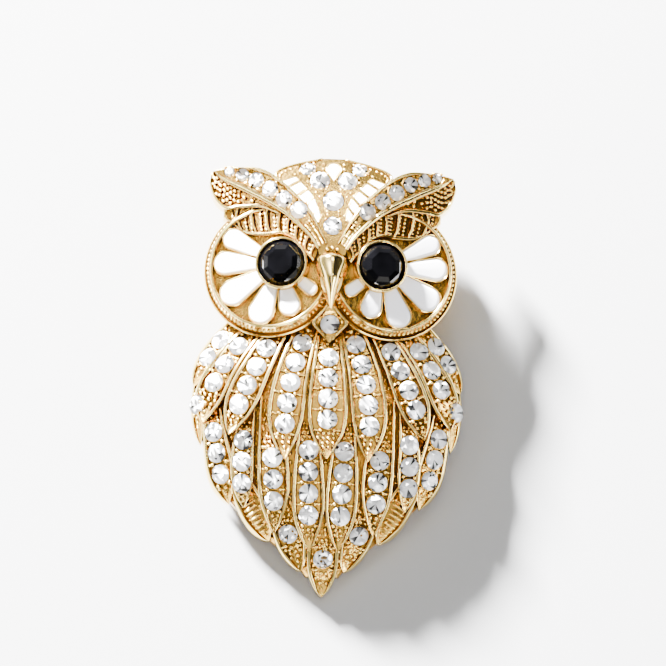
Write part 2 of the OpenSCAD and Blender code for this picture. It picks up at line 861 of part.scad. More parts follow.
casting();
eye(-1);  // eye_left
eye(1);  // eye_right
for (i = [1:petal_count]) petal(-1, i);
for (i = [1:petal_count]) petal(1, i);
crown_drop();
crown_enamel(-1);  // crown_enamel_left
crown_enamel(1);  // crown_enamel_right
for (i = [1:len(crown_stones)]) crown_stone(i);
for (i = [1:len(brow_stones)]) brow_stone(-1, i);
for (i = [1:len(brow_stones)]) brow_stone(1, i);
throat_stone();
breast_stones();
tail_stones();
pin_back();
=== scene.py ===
import math
from collections import namedtuple

import bpy
import numpy as np
from mathutils import Matrix


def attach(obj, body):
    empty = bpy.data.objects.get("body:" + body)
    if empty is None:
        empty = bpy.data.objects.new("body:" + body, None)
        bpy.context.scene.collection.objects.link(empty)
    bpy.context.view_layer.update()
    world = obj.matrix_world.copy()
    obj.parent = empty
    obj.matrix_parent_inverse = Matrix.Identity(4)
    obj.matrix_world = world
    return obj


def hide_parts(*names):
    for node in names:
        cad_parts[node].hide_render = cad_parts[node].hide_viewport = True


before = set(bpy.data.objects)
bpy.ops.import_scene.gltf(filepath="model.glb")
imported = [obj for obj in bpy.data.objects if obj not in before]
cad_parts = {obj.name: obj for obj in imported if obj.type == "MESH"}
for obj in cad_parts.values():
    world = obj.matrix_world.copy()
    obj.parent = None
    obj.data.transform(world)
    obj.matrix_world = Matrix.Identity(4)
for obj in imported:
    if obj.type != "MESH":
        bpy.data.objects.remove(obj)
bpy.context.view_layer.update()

# Sizes of part.scad, in millimetres. Everything is drawn in the casting's own frame, its back rim at
# height 0, and posed() then lays it on its tail and pin as part.scad does.
HALF_LENGTH, HALF_WIDTH, HALF_EARS = 28.0, 17.0, 16.0
BREAST, EDGE, WALL = 6.5, 1.2, 1.5
SIDE_WALL, CROWN_WALL, UNDER = 1.25 * WALL, 1.6 * WALL, -1
TAIL_RAISE, LOWER_RAISE, UPPER_RAISE, STEP = 0.42, 0.88, 1.4, 0.1
RIM, BED = 0.52, 0.48
DISC_R, DISC_X, DISC_Z, DISC_PLATE, DISC_SLOPE = 8.65, 7.65, 5.8, 2.4, math.radians(12)
RING_WIDTH, RING_HEIGHT, RING_SHIFT = 1.3, 0.8, 0.2
BROW, CROWN, BEAK_WIDTH, BEAK = 9.0, 8.7, 4.25, 10.5
PITCH, EYE, BEZEL, BEZEL_WALL = 2.67, 5.8, 1.7, 0.45
ENAMEL, PETAL_WALL, DIVIDER, BEZEL_SHIFT = 0.5, 0.22, 0.3, -0.04
SINK, RIDGE_DEPTH, CROWN_BASE, OVERHANG = 1.2, 3.0, 0.4, 0.8
CATCH_R, PIN_Y, STEM_Z = 1.1, 0.286 * HALF_LENGTH, -0.05 - 0.8 - 1.05
POWER, FULL, LIMIT = 2.4, 0.6, 0.985
THROAT, THROAT_SLOPE, THROAT_Y, EAR_DROP, LID_DROP = 7.5, 0.45, 6, 0.25, 0.5

# Counts and steps of the fine work
DISC_SIDES, RING_BEADS, BODY_GRAINS, GRAIN_STEP = 128, 88, 700, 0.62
# Points across a bed, place of a slim feather's widest point, angle from which edges stay sharp
INSIDE, WIDEST, SHARP = 15, 0.45, 40
# Pit under a stone: depth, slope's offset and least share of the depth, play round it, reach upwards
PIT, PIT_RISE, PIT_RIM, PIT_PLAY, PIT_REACH = 0.36, 1.25, 0.3, 0.02, 1.2
# Slots of a clear stone's facets, 0 for glass and 1 to 3 for the foil, painted as bright, grey and dark
# reflections, and how often each is drawn
TOP_SLOTS, TOP_SHARES = [0, 1, 3], [0.72, 0.22, 0.06]
UNDER_SLOTS, UNDER_SHARES = [1, 2, 3], [0.72, 0.15, 0.13]
# Share of a black stone's facets that are the brighter glass
EYE_BRIGHT = 0.55

# Along (share of half length), half width (share), crest (share)
body_rows = [
    (-1.00, 0.06, 0.16), (-0.91, 0.11, 0.32), (-0.84, 0.23, 0.48), (-0.75, 0.40, 0.64),
    (-0.64, 0.61, 0.78), (-0.54, 0.76, 0.88), (-0.43, 0.86, 0.95), (-0.29, 0.93, 0.99),
    (-0.14, 0.95, 1.00), (0.00, 0.93, 0.90), (0.11, 0.86, 0.76), (0.21, 0.76, 0.62),
    (0.32, 0.66, 0.60), (0.46, 0.70, 0.60), (0.62, 0.76, 0.60), (0.75, 0.78, 0.56),
    (0.84, 0.70, 0.44), (0.90, 0.45, 0.32),
]
# Along, half width (share of half ear width), height (share of crown height)
crown_rows = [
    (0.52, 0.10, 1.00), (0.59, 0.14, 0.99), (0.66, 0.20, 0.965), (0.72, 0.27, 0.94),
    (0.78, 0.34, 0.905), (0.84, 0.41, 0.855), (0.88, 0.46, 0.81), (0.907, 0.470, 0.775),
    (0.93, 0.41, 0.74), (0.954, 0.28, 0.70), (0.975, 0.12, 0.65), (0.98, 0.07, 0.62),
]
brow_heights = [
    (0.00, 1.00), (0.13, 0.99), (0.27, 0.93), (0.50, 0.81), (0.75, 0.66), (0.94, 0.55), (1.00, 0.52),
]
# Root and tip across and along, bow and half width (shares), place of the first stone, stones
Feather = namedtuple("Feather", "root_x root_y tip_x tip_y bow half first count")
middle_breast = Feather(0, 0.165, 0, -0.403, 0, 0.144, 0.186, 4)
breast_feathers = [Feather(*row) for row in [
    (0.150, 0.215, 0.305, -0.409, 0.064, 0.132, 0.140, 5),
    (0.376, 0.193, 0.726, -0.296, 0.030, 0.118, 0.190, 4),
    (0.547, 0.200, 0.920, -0.239, 0.080, 0.109, 0.200, 3),
    (0.690, 0.215, 0.990, -0.066, 0.041, 0.082, 0.250, 2),
]]
lower_feathers = [Feather(*row) for row in [
    (0.135, -0.221, 0.105, -0.807, 0.006, 0.118, 0.245, 4),
    (0.435, -0.118, 0.367, -0.730, -0.009, 0.115, 0.460, 3),
    (0.582, -0.160, 0.596, -0.618, 0.030, 0.085, 0.350, 3),
    (0.850, -0.180, 0.707, -0.596, 0.020, 0.100, 0.240, 3),
    (0.945, -0.018, 0.930, -0.332, 0.020, 0.050, 0.420, 1),
]]
middle_tail = Feather(0, -0.700, 0, -1.000, 0, 0.118, 0.450, 1)
tail_feathers = [Feather(*row) for row in [
    (0.335, -0.607, 0.158, -0.889, 0, 0.112, 0.430, 1),
    (0.624, -0.521, 0.402, -0.759, 0, 0.100, 0, 0),
]]
# Along, half width (share of half width)
throat_rows = [(0.290, 0.030), (0.226, 0.132), (0.208, 0.132), (0.133, 0.008)]
# High edge across and along, low edge across and along
brow_band = [
    (0.04, 0.572, 0.12, 0.543), (0.10, 0.637, 0.185, 0.598), (0.19, 0.725, 0.29, 0.657),
    (0.30, 0.803, 0.40, 0.711), (0.45, 0.879, 0.54, 0.761), (0.60, 0.923, 0.69, 0.808),
    (0.78, 0.927, 0.86, 0.861), (0.88, 0.920, 0.915, 0.889), (0.94, 0.912, 0.945, 0.908),
]
ear_band = [
    (0.42, 0.745, 0.43, 0.708), (0.58, 0.805, 0.57, 0.738), (0.74, 0.850, 0.74, 0.738),
    (0.83, 0.875, 0.84, 0.734), (0.90, 0.895, 0.932, 0.779), (0.93, 0.912, 0.977, 0.850),
    (0.953, 0.914, 0.970, 0.885),
]
lid_band = [
    (0.10, 0.560, 0.15, 0.487), (0.17, 0.610, 0.21, 0.525), (0.30, 0.680, 0.31, 0.591),
    (0.40, 0.725, 0.40, 0.616), (0.55, 0.760, 0.52, 0.612), (0.74, 0.760, 0.69, 0.624),
    (0.86, 0.750, 0.86, 0.700),
]
# Inner end and outer end of each cross line of the enamel strip
strip_lines = [
    (0.306, 0.888, 0.430, 0.861), (0.269, 0.863, 0.360, 0.831), (0.206, 0.825, 0.285, 0.789),
    (0.155, 0.788, 0.211, 0.751), (0.120, 0.740, 0.162, 0.709), (0.092, 0.691, 0.120, 0.665),
]
# Angle, distance to the tip's circle, radius at the tip, radius at the eye
Petal = namedtuple("Petal", "angle far tip root")
petals = [Petal(*row) for row in [
    (28, 0.792, 0.145, 0.070), (1, 0.804, 0.166, 0.077), (-32, 0.808, 0.184, 0.085),
    (-70, 0.750, 0.178, 0.082), (-105, 0.634, 0.148, 0.080), (-142, 0.600, 0.086, 0.062),
]]
# Along, half width, side height, ridge height, base height
beak_rows = [
    (0.268, 0.07, 0.91, 0.94, 0.88), (0.336, 0.44, 0.80, 1.00, 0.71), (0.414, 0.79, 0.77, 1.00, 0.62),
    (0.486, 1.00, 0.76, 0.94, 0.55), (0.512, 0.93, 0.77, 0.925, 0.55), (0.532, 0.55, 0.79, 0.86, 0.55),
]

# Heights


def column(rows, k, blur=0.022):
    """Column k of a table as a function of its first column, its corners rounded by blur."""
    xs, ys = [r[0] for r in rows], [r[k] for r in rows]
    if not blur:
        return lambda q: np.interp(q, xs, ys)
    step = 0.002
    grid = np.arange(xs[0] - 0.1, xs[-1] + 0.1, step)
    reach = int(4 * blur / step)
    kernel = np.exp(-0.5 * (np.arange(-reach, reach + 1) * step / blur) ** 2)
    soft = np.convolve(np.pad(np.interp(grid, xs, ys), reach, mode="edge"), kernel / kernel.sum(), "valid")
    return lambda q: np.interp(q, grid, soft)


body_width, body_crest = column(body_rows, 1), column(body_rows, 2)
crown_height, crown_width = column(crown_rows, 2, 0.012), column(crown_rows, 1, 0.008)
brow_height = column([(-r[0], r[1]) for r in brow_heights[:0:-1]] + brow_heights, 1, 0.03)


def dome(x, y, lift, width=body_width, crest=body_crest):
    """Height of the body's dome, raised by lift."""
    reach = lift + OVERHANG if lift > 0 else 0
    share = np.minimum(np.abs(x) / (HALF_WIDTH * width(y / HALF_LENGTH) + reach), LIMIT)
    return EDGE + (BREAST * crest(y / HALF_LENGTH) + lift - EDGE) * (1 - share**POWER) ** FULL


def crown_top(x, y):
    return CROWN * crown_height((y + 0.02 * x * x) / HALF_LENGTH)


def brow_top(x, y=0):
    return BROW * brow_height(np.abs(x) / HALF_EARS)


def raised(lift):
    return lambda x, y: dome(x, y, lift)


throat_relief = lambda x, y: THROAT + THROAT_SLOPE * (y - THROAT_Y)
ear_relief = lambda x, y: brow_top(x) - EAR_DROP
lid_relief = lambda x, y: brow_top(x) - LID_DROP

tail_top = float(dome(0.0, -HALF_LENGTH, TAIL_RAISE, column(body_rows, 1, 0), column(body_rows, 2, 0)))
tail_under = tail_top - TAIL_RAISE - SINK
run, drop = PIN_Y + HALF_LENGTH, tail_under - STEM_Z
TIP = math.atan2(drop, run) + math.asin(CATCH_R / math.hypot(run, drop))
LIFT = HALF_LENGTH * math.sin(TIP) - tail_under * math.cos(TIP)
SHIFT = (HALF_LENGTH * (1 - crown_rows[-1][0]) * math.cos(TIP) + (tail_top + CROWN_BASE) * math.sin(TIP)) / 2


def tipped(p, angle):
    """Points turned about the x axis."""
    c, s = math.cos(angle), math.sin(angle)
    return np.column_stack([p[:, 0], p[:, 1] * c - p[:, 2] * s, p[:, 1] * s + p[:, 2] * c])


def posed(p):
    """Points of the casting's frame, in millimetres, as they lie in the row's frame, in metres."""
    return (tipped(np.asarray(p, float), TIP) + (0, SHIFT, LIFT)) * 0.001


def unposed(p):
    """Points of the row's frame, in metres, in the casting's frame, in millimetres."""
    return tipped(np.asarray(p, float) * 1000 - (0, SHIFT, LIFT), -TIP)


# Stones of the CAD


def islands(node):
    """Middle of the flat back, the way it faces and the diameter of each stone of a CAD node."""
    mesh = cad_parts[node].data
    points = unposed([v.co for v in mesh.vertices])
    keys = {}
    parent = list(range(len(points)))

    def root(i):
        while parent[i] != i:
            parent[i] = parent[parent[i]]
            i = parent[i]
        return i

    for i, p in enumerate(points):
        parent[root(i)] = root(keys.setdefault(tuple(np.round(p, 3)), i))
    for e in mesh.edges:
        parent[root(e.vertices[0])] = root(e.vertices[1])
    groups = {}
    for i in range(len(points)):
        groups.setdefault(root(i), []).append(i)
    out = []
    for group in groups.values():
        p = np.unique(np.round(points[group], 4), axis=0)
        axis = np.linalg.svd(p - p.mean(0))[2][2]
        h = (p - p.mean(0)) @ axis
        low, high = p[h < 0], p[h > 0]
        spread = [np.linalg.norm(q - q.mean(0), axis=1).mean() for q in (low, high)]
        if spread[0] < spread[1]:
            axis, low = -axis, high
        out.append((low.mean(0), axis, 2 * np.linalg.norm(low - low.mean(0), axis=1).max()))
    return out


stones = {name: islands(name) for name in sorted(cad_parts) if "stone" in name}


def pitted(points):
    """The points with a pit sunk under each stone."""
    points = points.copy()
    for centre, axis, size in [stone for places in stones.values() for stone in places]:
        near = np.nonzero(np.linalg.norm(points - centre, axis=1) < size)[0]
        d = points[near] - centre
        h = d @ axis
        r = np.linalg.norm(d - h[:, None] * axis, axis=1)
        bottom = -PIT * np.clip(PIT_RISE - r / (size / 2), PIT_RIM, 1)
        sunk = (r < size / 2 + PIT_PLAY) & (h > bottom) & (h < PIT_REACH)
        points[near[sunk]] -= (h - bottom)[sunk, None] * axis
    return points


# Meshes


def linked(name, data):
    """A new object in the scene."""
    o = bpy.data.objects.new(name, data)
    bpy.context.scene.collection.objects.link(o)
    return o


class Mesh:
    """Points and faces of one piece, gathered in the casting's frame."""

    def __init__(self):
        self.points, self.faces, self.slots, self.count = [], [], [], 0

    def add(self, points, faces, slot=0):
        self.points.append(np.asarray(points, float).reshape(-1, 3))
        self.faces += [tuple(i + self.count for i in f) for f in faces]
        self.slots += [slot] * len(faces)
        self.count += len(self.points[-1])

    def rings(self, rings, start=False, end=False, slots=0):
        """Rings of points joined in a row, with start and end caps, faced outwards."""
        rings = np.asarray(rings, float)
        m, n = rings.shape[:2]
        k, i = np.divmod(np.arange((m - 1) * n), n)
        j = (i + 1) % n
        quads = np.column_stack([k * n + i, (k + 1) * n + i, (k + 1) * n + j, k * n + j])
        points = rings.reshape(-1, 3)
        p = (points - points.mean(0))[quads]
        volume = (np.einsum("ij,ij->", p[:, 0], np.cross(p[:, 1], p[:, 2]))
                  + np.einsum("ij,ij->", p[:, 0], np.cross(p[:, 2], p[:, 3])))
        faces = quads.tolist()
        if start:
            faces.append(list(range(n)))
        if end:
            faces.append([(m - 1) * n + q for q in range(n - 1, -1, -1)])
        if volume < 0:
            faces = [f[::-1] for f in faces]
        self.add(points, faces)
        if not np.isscalar(slots):
            self.slots[-len(faces):] = list(np.asarray(slots)[i]) + [0] * (len(faces) - len(quads))

    def both(self, other):
        """Adds another mesh and its mirror image."""
        for side in (1, -1):
            points = np.vstack(other.points) * (side, 1, 1)
            faces = other.faces if side > 0 else [f[::-1] for f in other.faces]
            base = self.count
            self.points.append(points)
            self.faces += [tuple(i + base for i in f) for f in faces]
            self.slots += other.slots
            self.count += len(points)

    def object(self, name, materials, slot, replaces=(), sharp=SHARP, pits=False):
        """The visible piece, flat when sharp is 0, or smooth with edges kept above that angle."""
        points = np.vstack(self.points)
        mesh = bpy.data.meshes.new(name)
        mesh.from_pydata(posed(pitted(points) if pits else points).tolist(), [], self.faces)
        mesh.validate()
        mesh.polygons.foreach_set("material_index", np.array(self.slots[: len(mesh.polygons)], np.int32))
        if sharp:
            mesh.shade_smooth()
        else:
            mesh.shade_flat()
        if sharp and sharp < 180:
            mesh.set_sharp_from_angle(angle=math.radians(sharp))
        for m in materials:
            mesh.materials.append(m)
        o = linked(name, mesh)
        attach(o, "root")
        if replaces:
            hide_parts(*replaces)
        return o


def icosphere():
    """A small sphere of 42 points and 80 triangles."""
    g = (1 + 5**0.5) / 2
    pts = [(-1, g, 0), (1, g, 0), (-1, -g, 0), (1, -g, 0), (0, -1, g), (0, 1, g), (0, -1, -g), (0, 1, -g),
           (g, 0, -1), (g, 0, 1), (-g, 0, -1), (-g, 0, 1)]
    tris = [(0, 11, 5), (0, 5, 1), (0, 1, 7), (0, 7, 10), (0, 10, 11), (1, 5, 9), (5, 11, 4), (11, 10, 2),
            (10, 7, 6), (7, 1, 8), (3, 9, 4), (3, 4, 2), (3, 2, 6), (3, 6, 8), (3, 8, 9), (4, 9, 5),
            (2, 4, 11), (6, 2, 10), (8, 6, 7), (9, 8, 1)]
    pts, out, mid = [np.array(p) / np.linalg.norm(p) for p in pts], [], {}
    for a, b, c in tris:
        cut = []
        for e in ((a, b), (b, c), (c, a)):
            key = tuple(sorted(e))
            if key not in mid:
                p = pts[e[0]] + pts[e[1]]
                mid[key] = len(pts)
                pts.append(p / np.linalg.norm(p))
            cut.append(mid[key])
        out += [(a, cut[0], cut[2]), (b, cut[1], cut[0]), (c, cut[2], cut[1]), tuple(cut)]
    return np.array(pts), out


BALL, BALL_FACES = icosphere()


def bead(mesh, at, size, along=(1, 0, 0), up=(0, 0, 1)):
    """A bead with its three half sizes along a direction, across it and upwards."""
    a, u = unit(along), unit(up)
    b = unit(np.cross(u, a))
    u = np.cross(a, b)
    size = np.broadcast_to(size, 3)
    mesh.add(np.asarray(at) + BALL @ np.array([a * size[0], b * size[1], u * size[2]]), BALL_FACES)


def unit(v):
    v = np.asarray(v, float)
    return v / np.linalg.norm(v)


def tube(mesh, line, radius, sides=8, close=False):
    """A round wire along a line of points."""
    line = np.asarray(line, float)
    ahead = np.roll(line, -1, 0) - np.roll(line, 1, 0) if close else np.gradient(line, axis=0)
    rings = []
    for p, d, r in zip(line, ahead, np.broadcast_to(radius, len(line))):
        d = unit(d)
        side = unit(np.cross(d, (0, 0, 1)))
        up = np.cross(side, d)
        rings.append([p + r * (math.cos(a) * side + math.sin(a) * up)
                      for a in np.arange(sides) * 2 * math.pi / sides])
    if close:
        rings.append(rings[0])
    mesh.rings(rings, start=not close, end=not close)


def spun(profile, sides, shift=None):
    """Rings of a profile of (radius, height) turned round the z axis."""
    a = np.arange(sides) * 2 * math.pi / sides
    return [np.column_stack([r * np.cos(a), r * np.sin(a) + (shift[i] if shift else 0), np.full(sides, z)])
            for i, (r, z) in enumerate(profile)]


# Materials


def material(name):
    m = bpy.data.materials.new(name)
    m.use_nodes = True
    nodes, links = m.node_tree.nodes, m.node_tree.links
    return m, nodes, links, nodes["Principled BSDF"]


def put(node, values):
    """Sets a node's own sockets."""
    for name, value in values.items():
        node.inputs[name].default_value = value


def noise(nodes, links, where, scale, detail=2.0):
    n = nodes.new("ShaderNodeTexNoise")
    put(n, {"Scale": scale, "Detail": detail})
    links.new(where.outputs["Object"], n.inputs["Vector"])
    return n


def ramp(nodes, links, source, stops):
    r = nodes.new("ShaderNodeValToRGB")
    for e, (at, colour) in zip((r.color_ramp.elements[0], r.color_ramp.elements[-1]), (stops[0], stops[-1])):
        e.position, e.color = at, colour
    for at, colour in stops[1:-1]:
        e = r.color_ramp.elements.new(at)
        e.color = colour
    links.new(source, r.inputs["Fac"])
    return r


def clouded(nodes, links, bsdf, scale, low, high, stops=(0.3, 0.7)):
    """Gives a shader a base colour that wanders between two, and returns the noise behind it."""
    cloud = noise(nodes, links, nodes.new("ShaderNodeTexCoord"), scale)
    tone = ramp(nodes, links, cloud.outputs["Fac"], [(stops[0], (*low, 1)), (stops[1], (*high, 1))])
    links.new(tone.outputs["Color"], bsdf.inputs["Base Color"])
    return cloud


def dimpled(nodes, links, bsdf, cloud, strength, depth):
    """Bumps a shader's surface by a noise."""
    bump = nodes.new("ShaderNodeBump")
    put(bump, {"Strength": strength, "Distance": depth})
    links.new(cloud.outputs["Fac"], bump.inputs["Height"])
    links.new(bump.outputs["Normal"], bsdf.inputs["Normal"])


# Share of the deep tone left in the darkest crevices of the painted crevice shade
CREVICE_SHADE_SHARE = 0.33


def gold_material(name, colour, deep, rough, bump, scale):
    """Polished cast gold plate: uneven gloss, fine dimples, and painted shade: a deeper tone where surfaces
    crowd into crevices.
    """
    m, nodes, links, bsdf = material(name)
    put(bsdf, {"Metallic": 1.0})
    where = nodes.new("ShaderNodeTexCoord")
    patch = noise(nodes, links, where, 260.0, 3.0)
    # Painted shade: ambient occlusion darkens the colour towards the deep tone in crevices and between close
    # parts
    near = nodes.new("ShaderNodeAmbientOcclusion")
    near.samples = 6
    put(near, {"Distance": 0.0009})
    crevice_shade_colour = (*(CREVICE_SHADE_SHARE * c for c in deep), 1)
    tone = ramp(nodes, links, near.outputs["AO"], [(0.25, crevice_shade_colour), (0.58, (*deep, 1)), (0.9, (*colour, 1))])
    uneven = nodes.new("ShaderNodeMixRGB")
    uneven.blend_type = "MULTIPLY"
    put(uneven, {"Fac": 1.0})
    spots = ramp(nodes, links, patch.outputs["Fac"], [(0.3, (0.93, 0.91, 0.88, 1)), (0.7, (1, 1, 1, 1))])
    links.new(tone.outputs["Color"], uneven.inputs["Color1"])
    links.new(spots.outputs["Color"], uneven.inputs["Color2"])
    links.new(uneven.outputs["Color"], bsdf.inputs["Base Color"])
    gloss = nodes.new("ShaderNodeMapRange")
    put(gloss, {"To Min": rough * 0.7, "To Max": rough * 1.4})
    links.new(patch.outputs["Fac"], gloss.inputs["Value"])
    links.new(gloss.outputs["Result"], bsdf.inputs["Roughness"])
    dimpled(nodes, links, bsdf, noise(nodes, links, where, scale, 3.0), 1.0, bump)
    return m


# Base colour of the gold, and the deep tone of the painted shade in its crevices
PALE, PAINTED_CREVICE_TONE = (0.98, 0.69, 0.17), (0.66, 0.36, 0.06)
gold = gold_material("gold_plate", PALE, PAINTED_CREVICE_TONE, 0.17, 0.00003, 900.0)
# Paler copy of the gold for rims, settings, disc rings and the beak: polished, and paler as a painted
# highlight
gold_polish_and_highlight = gold_material("gold_polished_painted_highlight", (1.0, 0.75, 0.24), PAINTED_CREVICE_TONE, 0.12, 0.000008, 500.0)
# Darker copy for the feather beds: grained, and darker as painted shade in the hollows between the rims
gold_grain_and_shade = gold_material("gold_grained_painted_shade", (0.86, 0.54, 0.10), (0.56, 0.30, 0.035), 0.18, 0.00007, 2200.0)
# Darker copy for the crown and the brow's bed: painted shade that darkens them where the lamp falls full on
# them
gold_painted_shade = gold_material("gold_painted_shade", (0.64, 0.39, 0.07), (0.42, 0.21, 0.02), 0.18, 0.00007, 2200.0)
# Darkest copy for the body between the feathers, the roots of the belly feathers, the beds of lids and ear
# tufts, the disc floors and the stone collars: painted shade in hollows and between parts
gold_deep_painted_shade = gold_material("gold_deep_painted_shade", (0.86, 0.51, 0.09), (0.52, 0.25, 0.025), 0.18, 0.00007, 2200.0)

enamel, nodes, links, bsdf = material("white_enamel")
cloud = clouded(nodes, links, bsdf, 180.0, (0.86, 0.86, 0.90), (0.93, 0.93, 0.95))
put(bsdf, {"Roughness": 0.12, "Coat Weight": 0.6, "Coat Roughness": 0.03})
dimpled(nodes, links, bsdf, cloud, 0.5, 0.00003)

glass, nodes, links, bsdf = material("clear_glass")
clouded(nodes, links, bsdf, 900.0, (0.95, 0.96, 0.98), (1, 1, 1))
put(bsdf, {"Metallic": 1.0, "Roughness": 0.02})
clear = nodes.new("ShaderNodeBsdfTransparent")
edge_on = nodes.new("ShaderNodeFresnel")
put(edge_on, {"IOR": 1.55})
both = nodes.new("ShaderNodeMixShader")
links.new(edge_on.outputs["Fac"], both.inputs["Fac"])
links.new(clear.outputs["BSDF"], both.inputs[1])
links.new(bsdf.outputs["BSDF"], both.inputs[2])
links.new(both.outputs["Shader"], nodes["Material Output"].inputs["Surface"])


# A foil in one tone, which stands as a painted reflection on the facets it is given
def reflection_foil_material(name, low, high, metallic):
    m, nodes, links, bsdf = material(name)
    clouded(nodes, links, bsdf, 1400.0, low, high, (0.35, 0.6))
    put(bsdf, {"Metallic": metallic, "Roughness": 0.08})
    return m


# Foil tones painted bright, grey and dark: painted reflections, drawn at random over each stone's facets
reflection_foils = [reflection_foil_material("foil_painted_bright_reflection", (0.98, 0.98, 0.98), (1, 1, 1), 0.05),
         reflection_foil_material("foil_painted_grey_reflection", (0.78, 0.78, 0.80), (0.92, 0.92, 0.94), 0.2),
         reflection_foil_material("foil_painted_dark_reflection", (0.03, 0.03, 0.03), (0.12, 0.12, 0.12), 0.6)]


def black_glass(name, level):
    m, nodes, links, bsdf = material(name)
    clouded(nodes, links, bsdf, 300.0, (0.0004, 0.0004, 0.0005), (0.0010, 0.0010, 0.0013))
    put(bsdf, {"Roughness": 0.03, "Specular IOR Level": level})
    return m


blacks = [black_glass("black_glass", 0.06), black_glass("black_glass_bright", 1.0)]

# Body and crown with their hollow


def arch(half, y, across, top, foot, foot_share=1.0):
    """A section at y: the left foot, the points of its top, the right foot."""
    left, right = (-half * foot_share, y, foot), (half * foot_share, y, foot)
    return [left, *zip(across * half, np.full(len(across), y), top), right]


body = Mesh()
rows = []
for share in np.concatenate([np.linspace(-0.91, 0.84, 72), np.linspace(0.84, 0.9, 6)[1:]]):
    y, w = share * HALF_LENGTH, HALF_WIDTH * float(body_width(share))
    s = np.sin(np.linspace(-math.pi / 2, math.pi / 2, 41))
    z = dome(s * w, y, 0)
    z[[0, -1]] = EDGE
    rows.append(arch(w, y, s, z, 0))
body.rings(rows, start=True, end=True)
# The body between the feathers takes the darkest gold: painted shade between the feathers
shell = body.object("body_shell", [gold_deep_painted_shade], "gold", ["casting"], pits=True)

crown = Mesh()
rows = []
for share in np.linspace(crown_rows[0][0], crown_rows[-1][0], 80):
    y, w = share * HALF_LENGTH, HALF_EARS * float(crown_width(share))
    s = np.linspace(-1, 1, 61)
    rows.append(arch(w, y, s, crown_top(s * w, y), CROWN_BASE))
crown.rings(rows, start=True, end=True)
# The crown takes a darker copy of the gold: painted shade where the lamp falls full on it
dome_piece = crown.object("crown_shell", [gold_painted_shade], "gold", pits=True)

hollow = Mesh()
rows = []
for share in np.linspace(-0.84, 0.75, 50):
    y, w = share * HALF_LENGTH, HALF_WIDTH * float(body_width(share)) - SIDE_WALL
    s = np.sin(np.linspace(-math.pi / 2, math.pi / 2, 31))
    z = (BREAST * body_crest(share) - WALL) * np.maximum(1 - np.abs(s) ** POWER, 0) ** FULL
    rows.append(arch(w, y, s, z, UNDER))
hollow.rings(rows, start=True, end=True)
rows = []
for share in np.linspace(0.59, 0.93, 24):
    y, w = share * HALF_LENGTH - WALL, HALF_EARS * float(crown_width(share)) - WALL
    s = np.linspace(-1, 1, 15)
    rows.append(arch(w, y, s, crown_top(s * w, y) - CROWN_WALL, UNDER))
hollow_crown = Mesh()
hollow_crown.rings(rows, start=True, end=True)


def carve(target, *cutters):
    """Cuts the hollow out of a shell."""
    for k, cutter in enumerate(cutters):
        tool = cutter.object(f"cutter_{k}", [gold], "gold", sharp=0)
        cut = target.modifiers.new(f"hollow_{k}", "BOOLEAN")
        cut.operation, cut.solver, cut.object = "DIFFERENCE", "EXACT", tool
        with bpy.context.temp_override(object=target, active_object=target, selected_objects=[target]):
            bpy.context.view_layer.objects.active = target
            bpy.ops.object.modifier_apply(modifier=cut.name)
        bpy.data.objects.remove(tool)
    target.data.shade_smooth()
    target.data.set_sharp_from_angle(angle=math.radians(SHARP))


carve(shell, hollow, hollow_crown)
carve(dome_piece, hollow, hollow_crown)

# Feathers


def spine(f, t):
    """Points of a feather's middle line, t from 0 at its root to 1 at its tip."""
    t = np.asarray(t, float)
    return np.stack([HALF_WIDTH * (f.root_x + (f.tip_x - f.root_x) * t + f.bow * 4 * t * (1 - t)),
                     HALF_LENGTH * (f.root_y + (f.tip_y - f.root_y) * t)], -1)


# Along a breast or belly feather, share of its half width
fan_rows = [
    (0, 0.64), (0.2, 0.82), (0.4, 0.96), (0.57, 1.04), (0.7, 1.02), (0.8, 0.86), (0.9, 0.54), (0.97, 0.2),
    (1.0, 0.0),
]
fan_width = column(fan_rows, 1, 0.02)
fan = [middle_breast, *breast_feathers[:3], *lower_feathers[:4]]


def feather_half(f, t):
    t = np.asarray(t, float)
    if f in fan:
        return f.half * HALF_WIDTH * fan_width(t)
    root = 0.85 + 0.15 * np.sin(np.pi / 2 * np.minimum(t / WIDEST, 1))
    past = np.maximum(t - WIDEST, 0) / (1 - WIDEST)
    tip = np.maximum(0.015, np.maximum(1 - past**2, 0) ** 0.75)
    return f.half * HALF_WIDTH * np.where(t < WIDEST, root, tip)


def across(f, t):
    """Direction across a feather at t."""
    d = spine(f, t + 0.01) - spine(f, t - 0.01)
    d = d / np.linalg.norm(d, axis=-1, keepdims=True)
    return np.stack([d[..., 1], -d[..., 0]], -1)


# Rim of a feather or brow: distance in from the edge and drop, both as shares
rim_profile = [(0, 0.55), (0.03, 0.32), (0.12, 0.14), (0.27, 0.03), (0.45, 0.0), (0.62, 0.04), (0.8, 0.18),
               (0.93, 0.42), (1.02, 0.78), (1.15, 1.0)]


def cross_section(half, rims, bed, depth, swell=0.0):
    """Offsets across and drops of one section, from the first rim to the second, which may swell."""
    k = min(1.0, half / (1.3 * sum(rims)))
    first, second = ([(-half, depth)] + [(-half + rim * k * a, bed * k * b - more * k * (1 - b) * (a > 0))
                                         for a, b in rim_profile] for rim, more in zip(rims, (0, swell)))
    lo, hi = first[-1][0], -second[-1][0]
    middle = [((lo + hi) / 2 + u * (hi - lo) / 2, bed * k * (1 + 0.1 * (1 - u * u)))
              for u in np.linspace(-1, 1, INSIDE)[1:-1]]
    return np.array(first + middle + [(-a, b) for a, b in second[::-1]])


def bed_slots():
    """Material of each strip of a section: 0 on the rims and sides, 1 on the bed."""
    n = 2 * (len(rim_profile) + 1) + INSIDE - 2
    return [1 if len(rim_profile) - 1 <= i <= n - len(rim_profile) - 1 else 0 for i in range(n)]


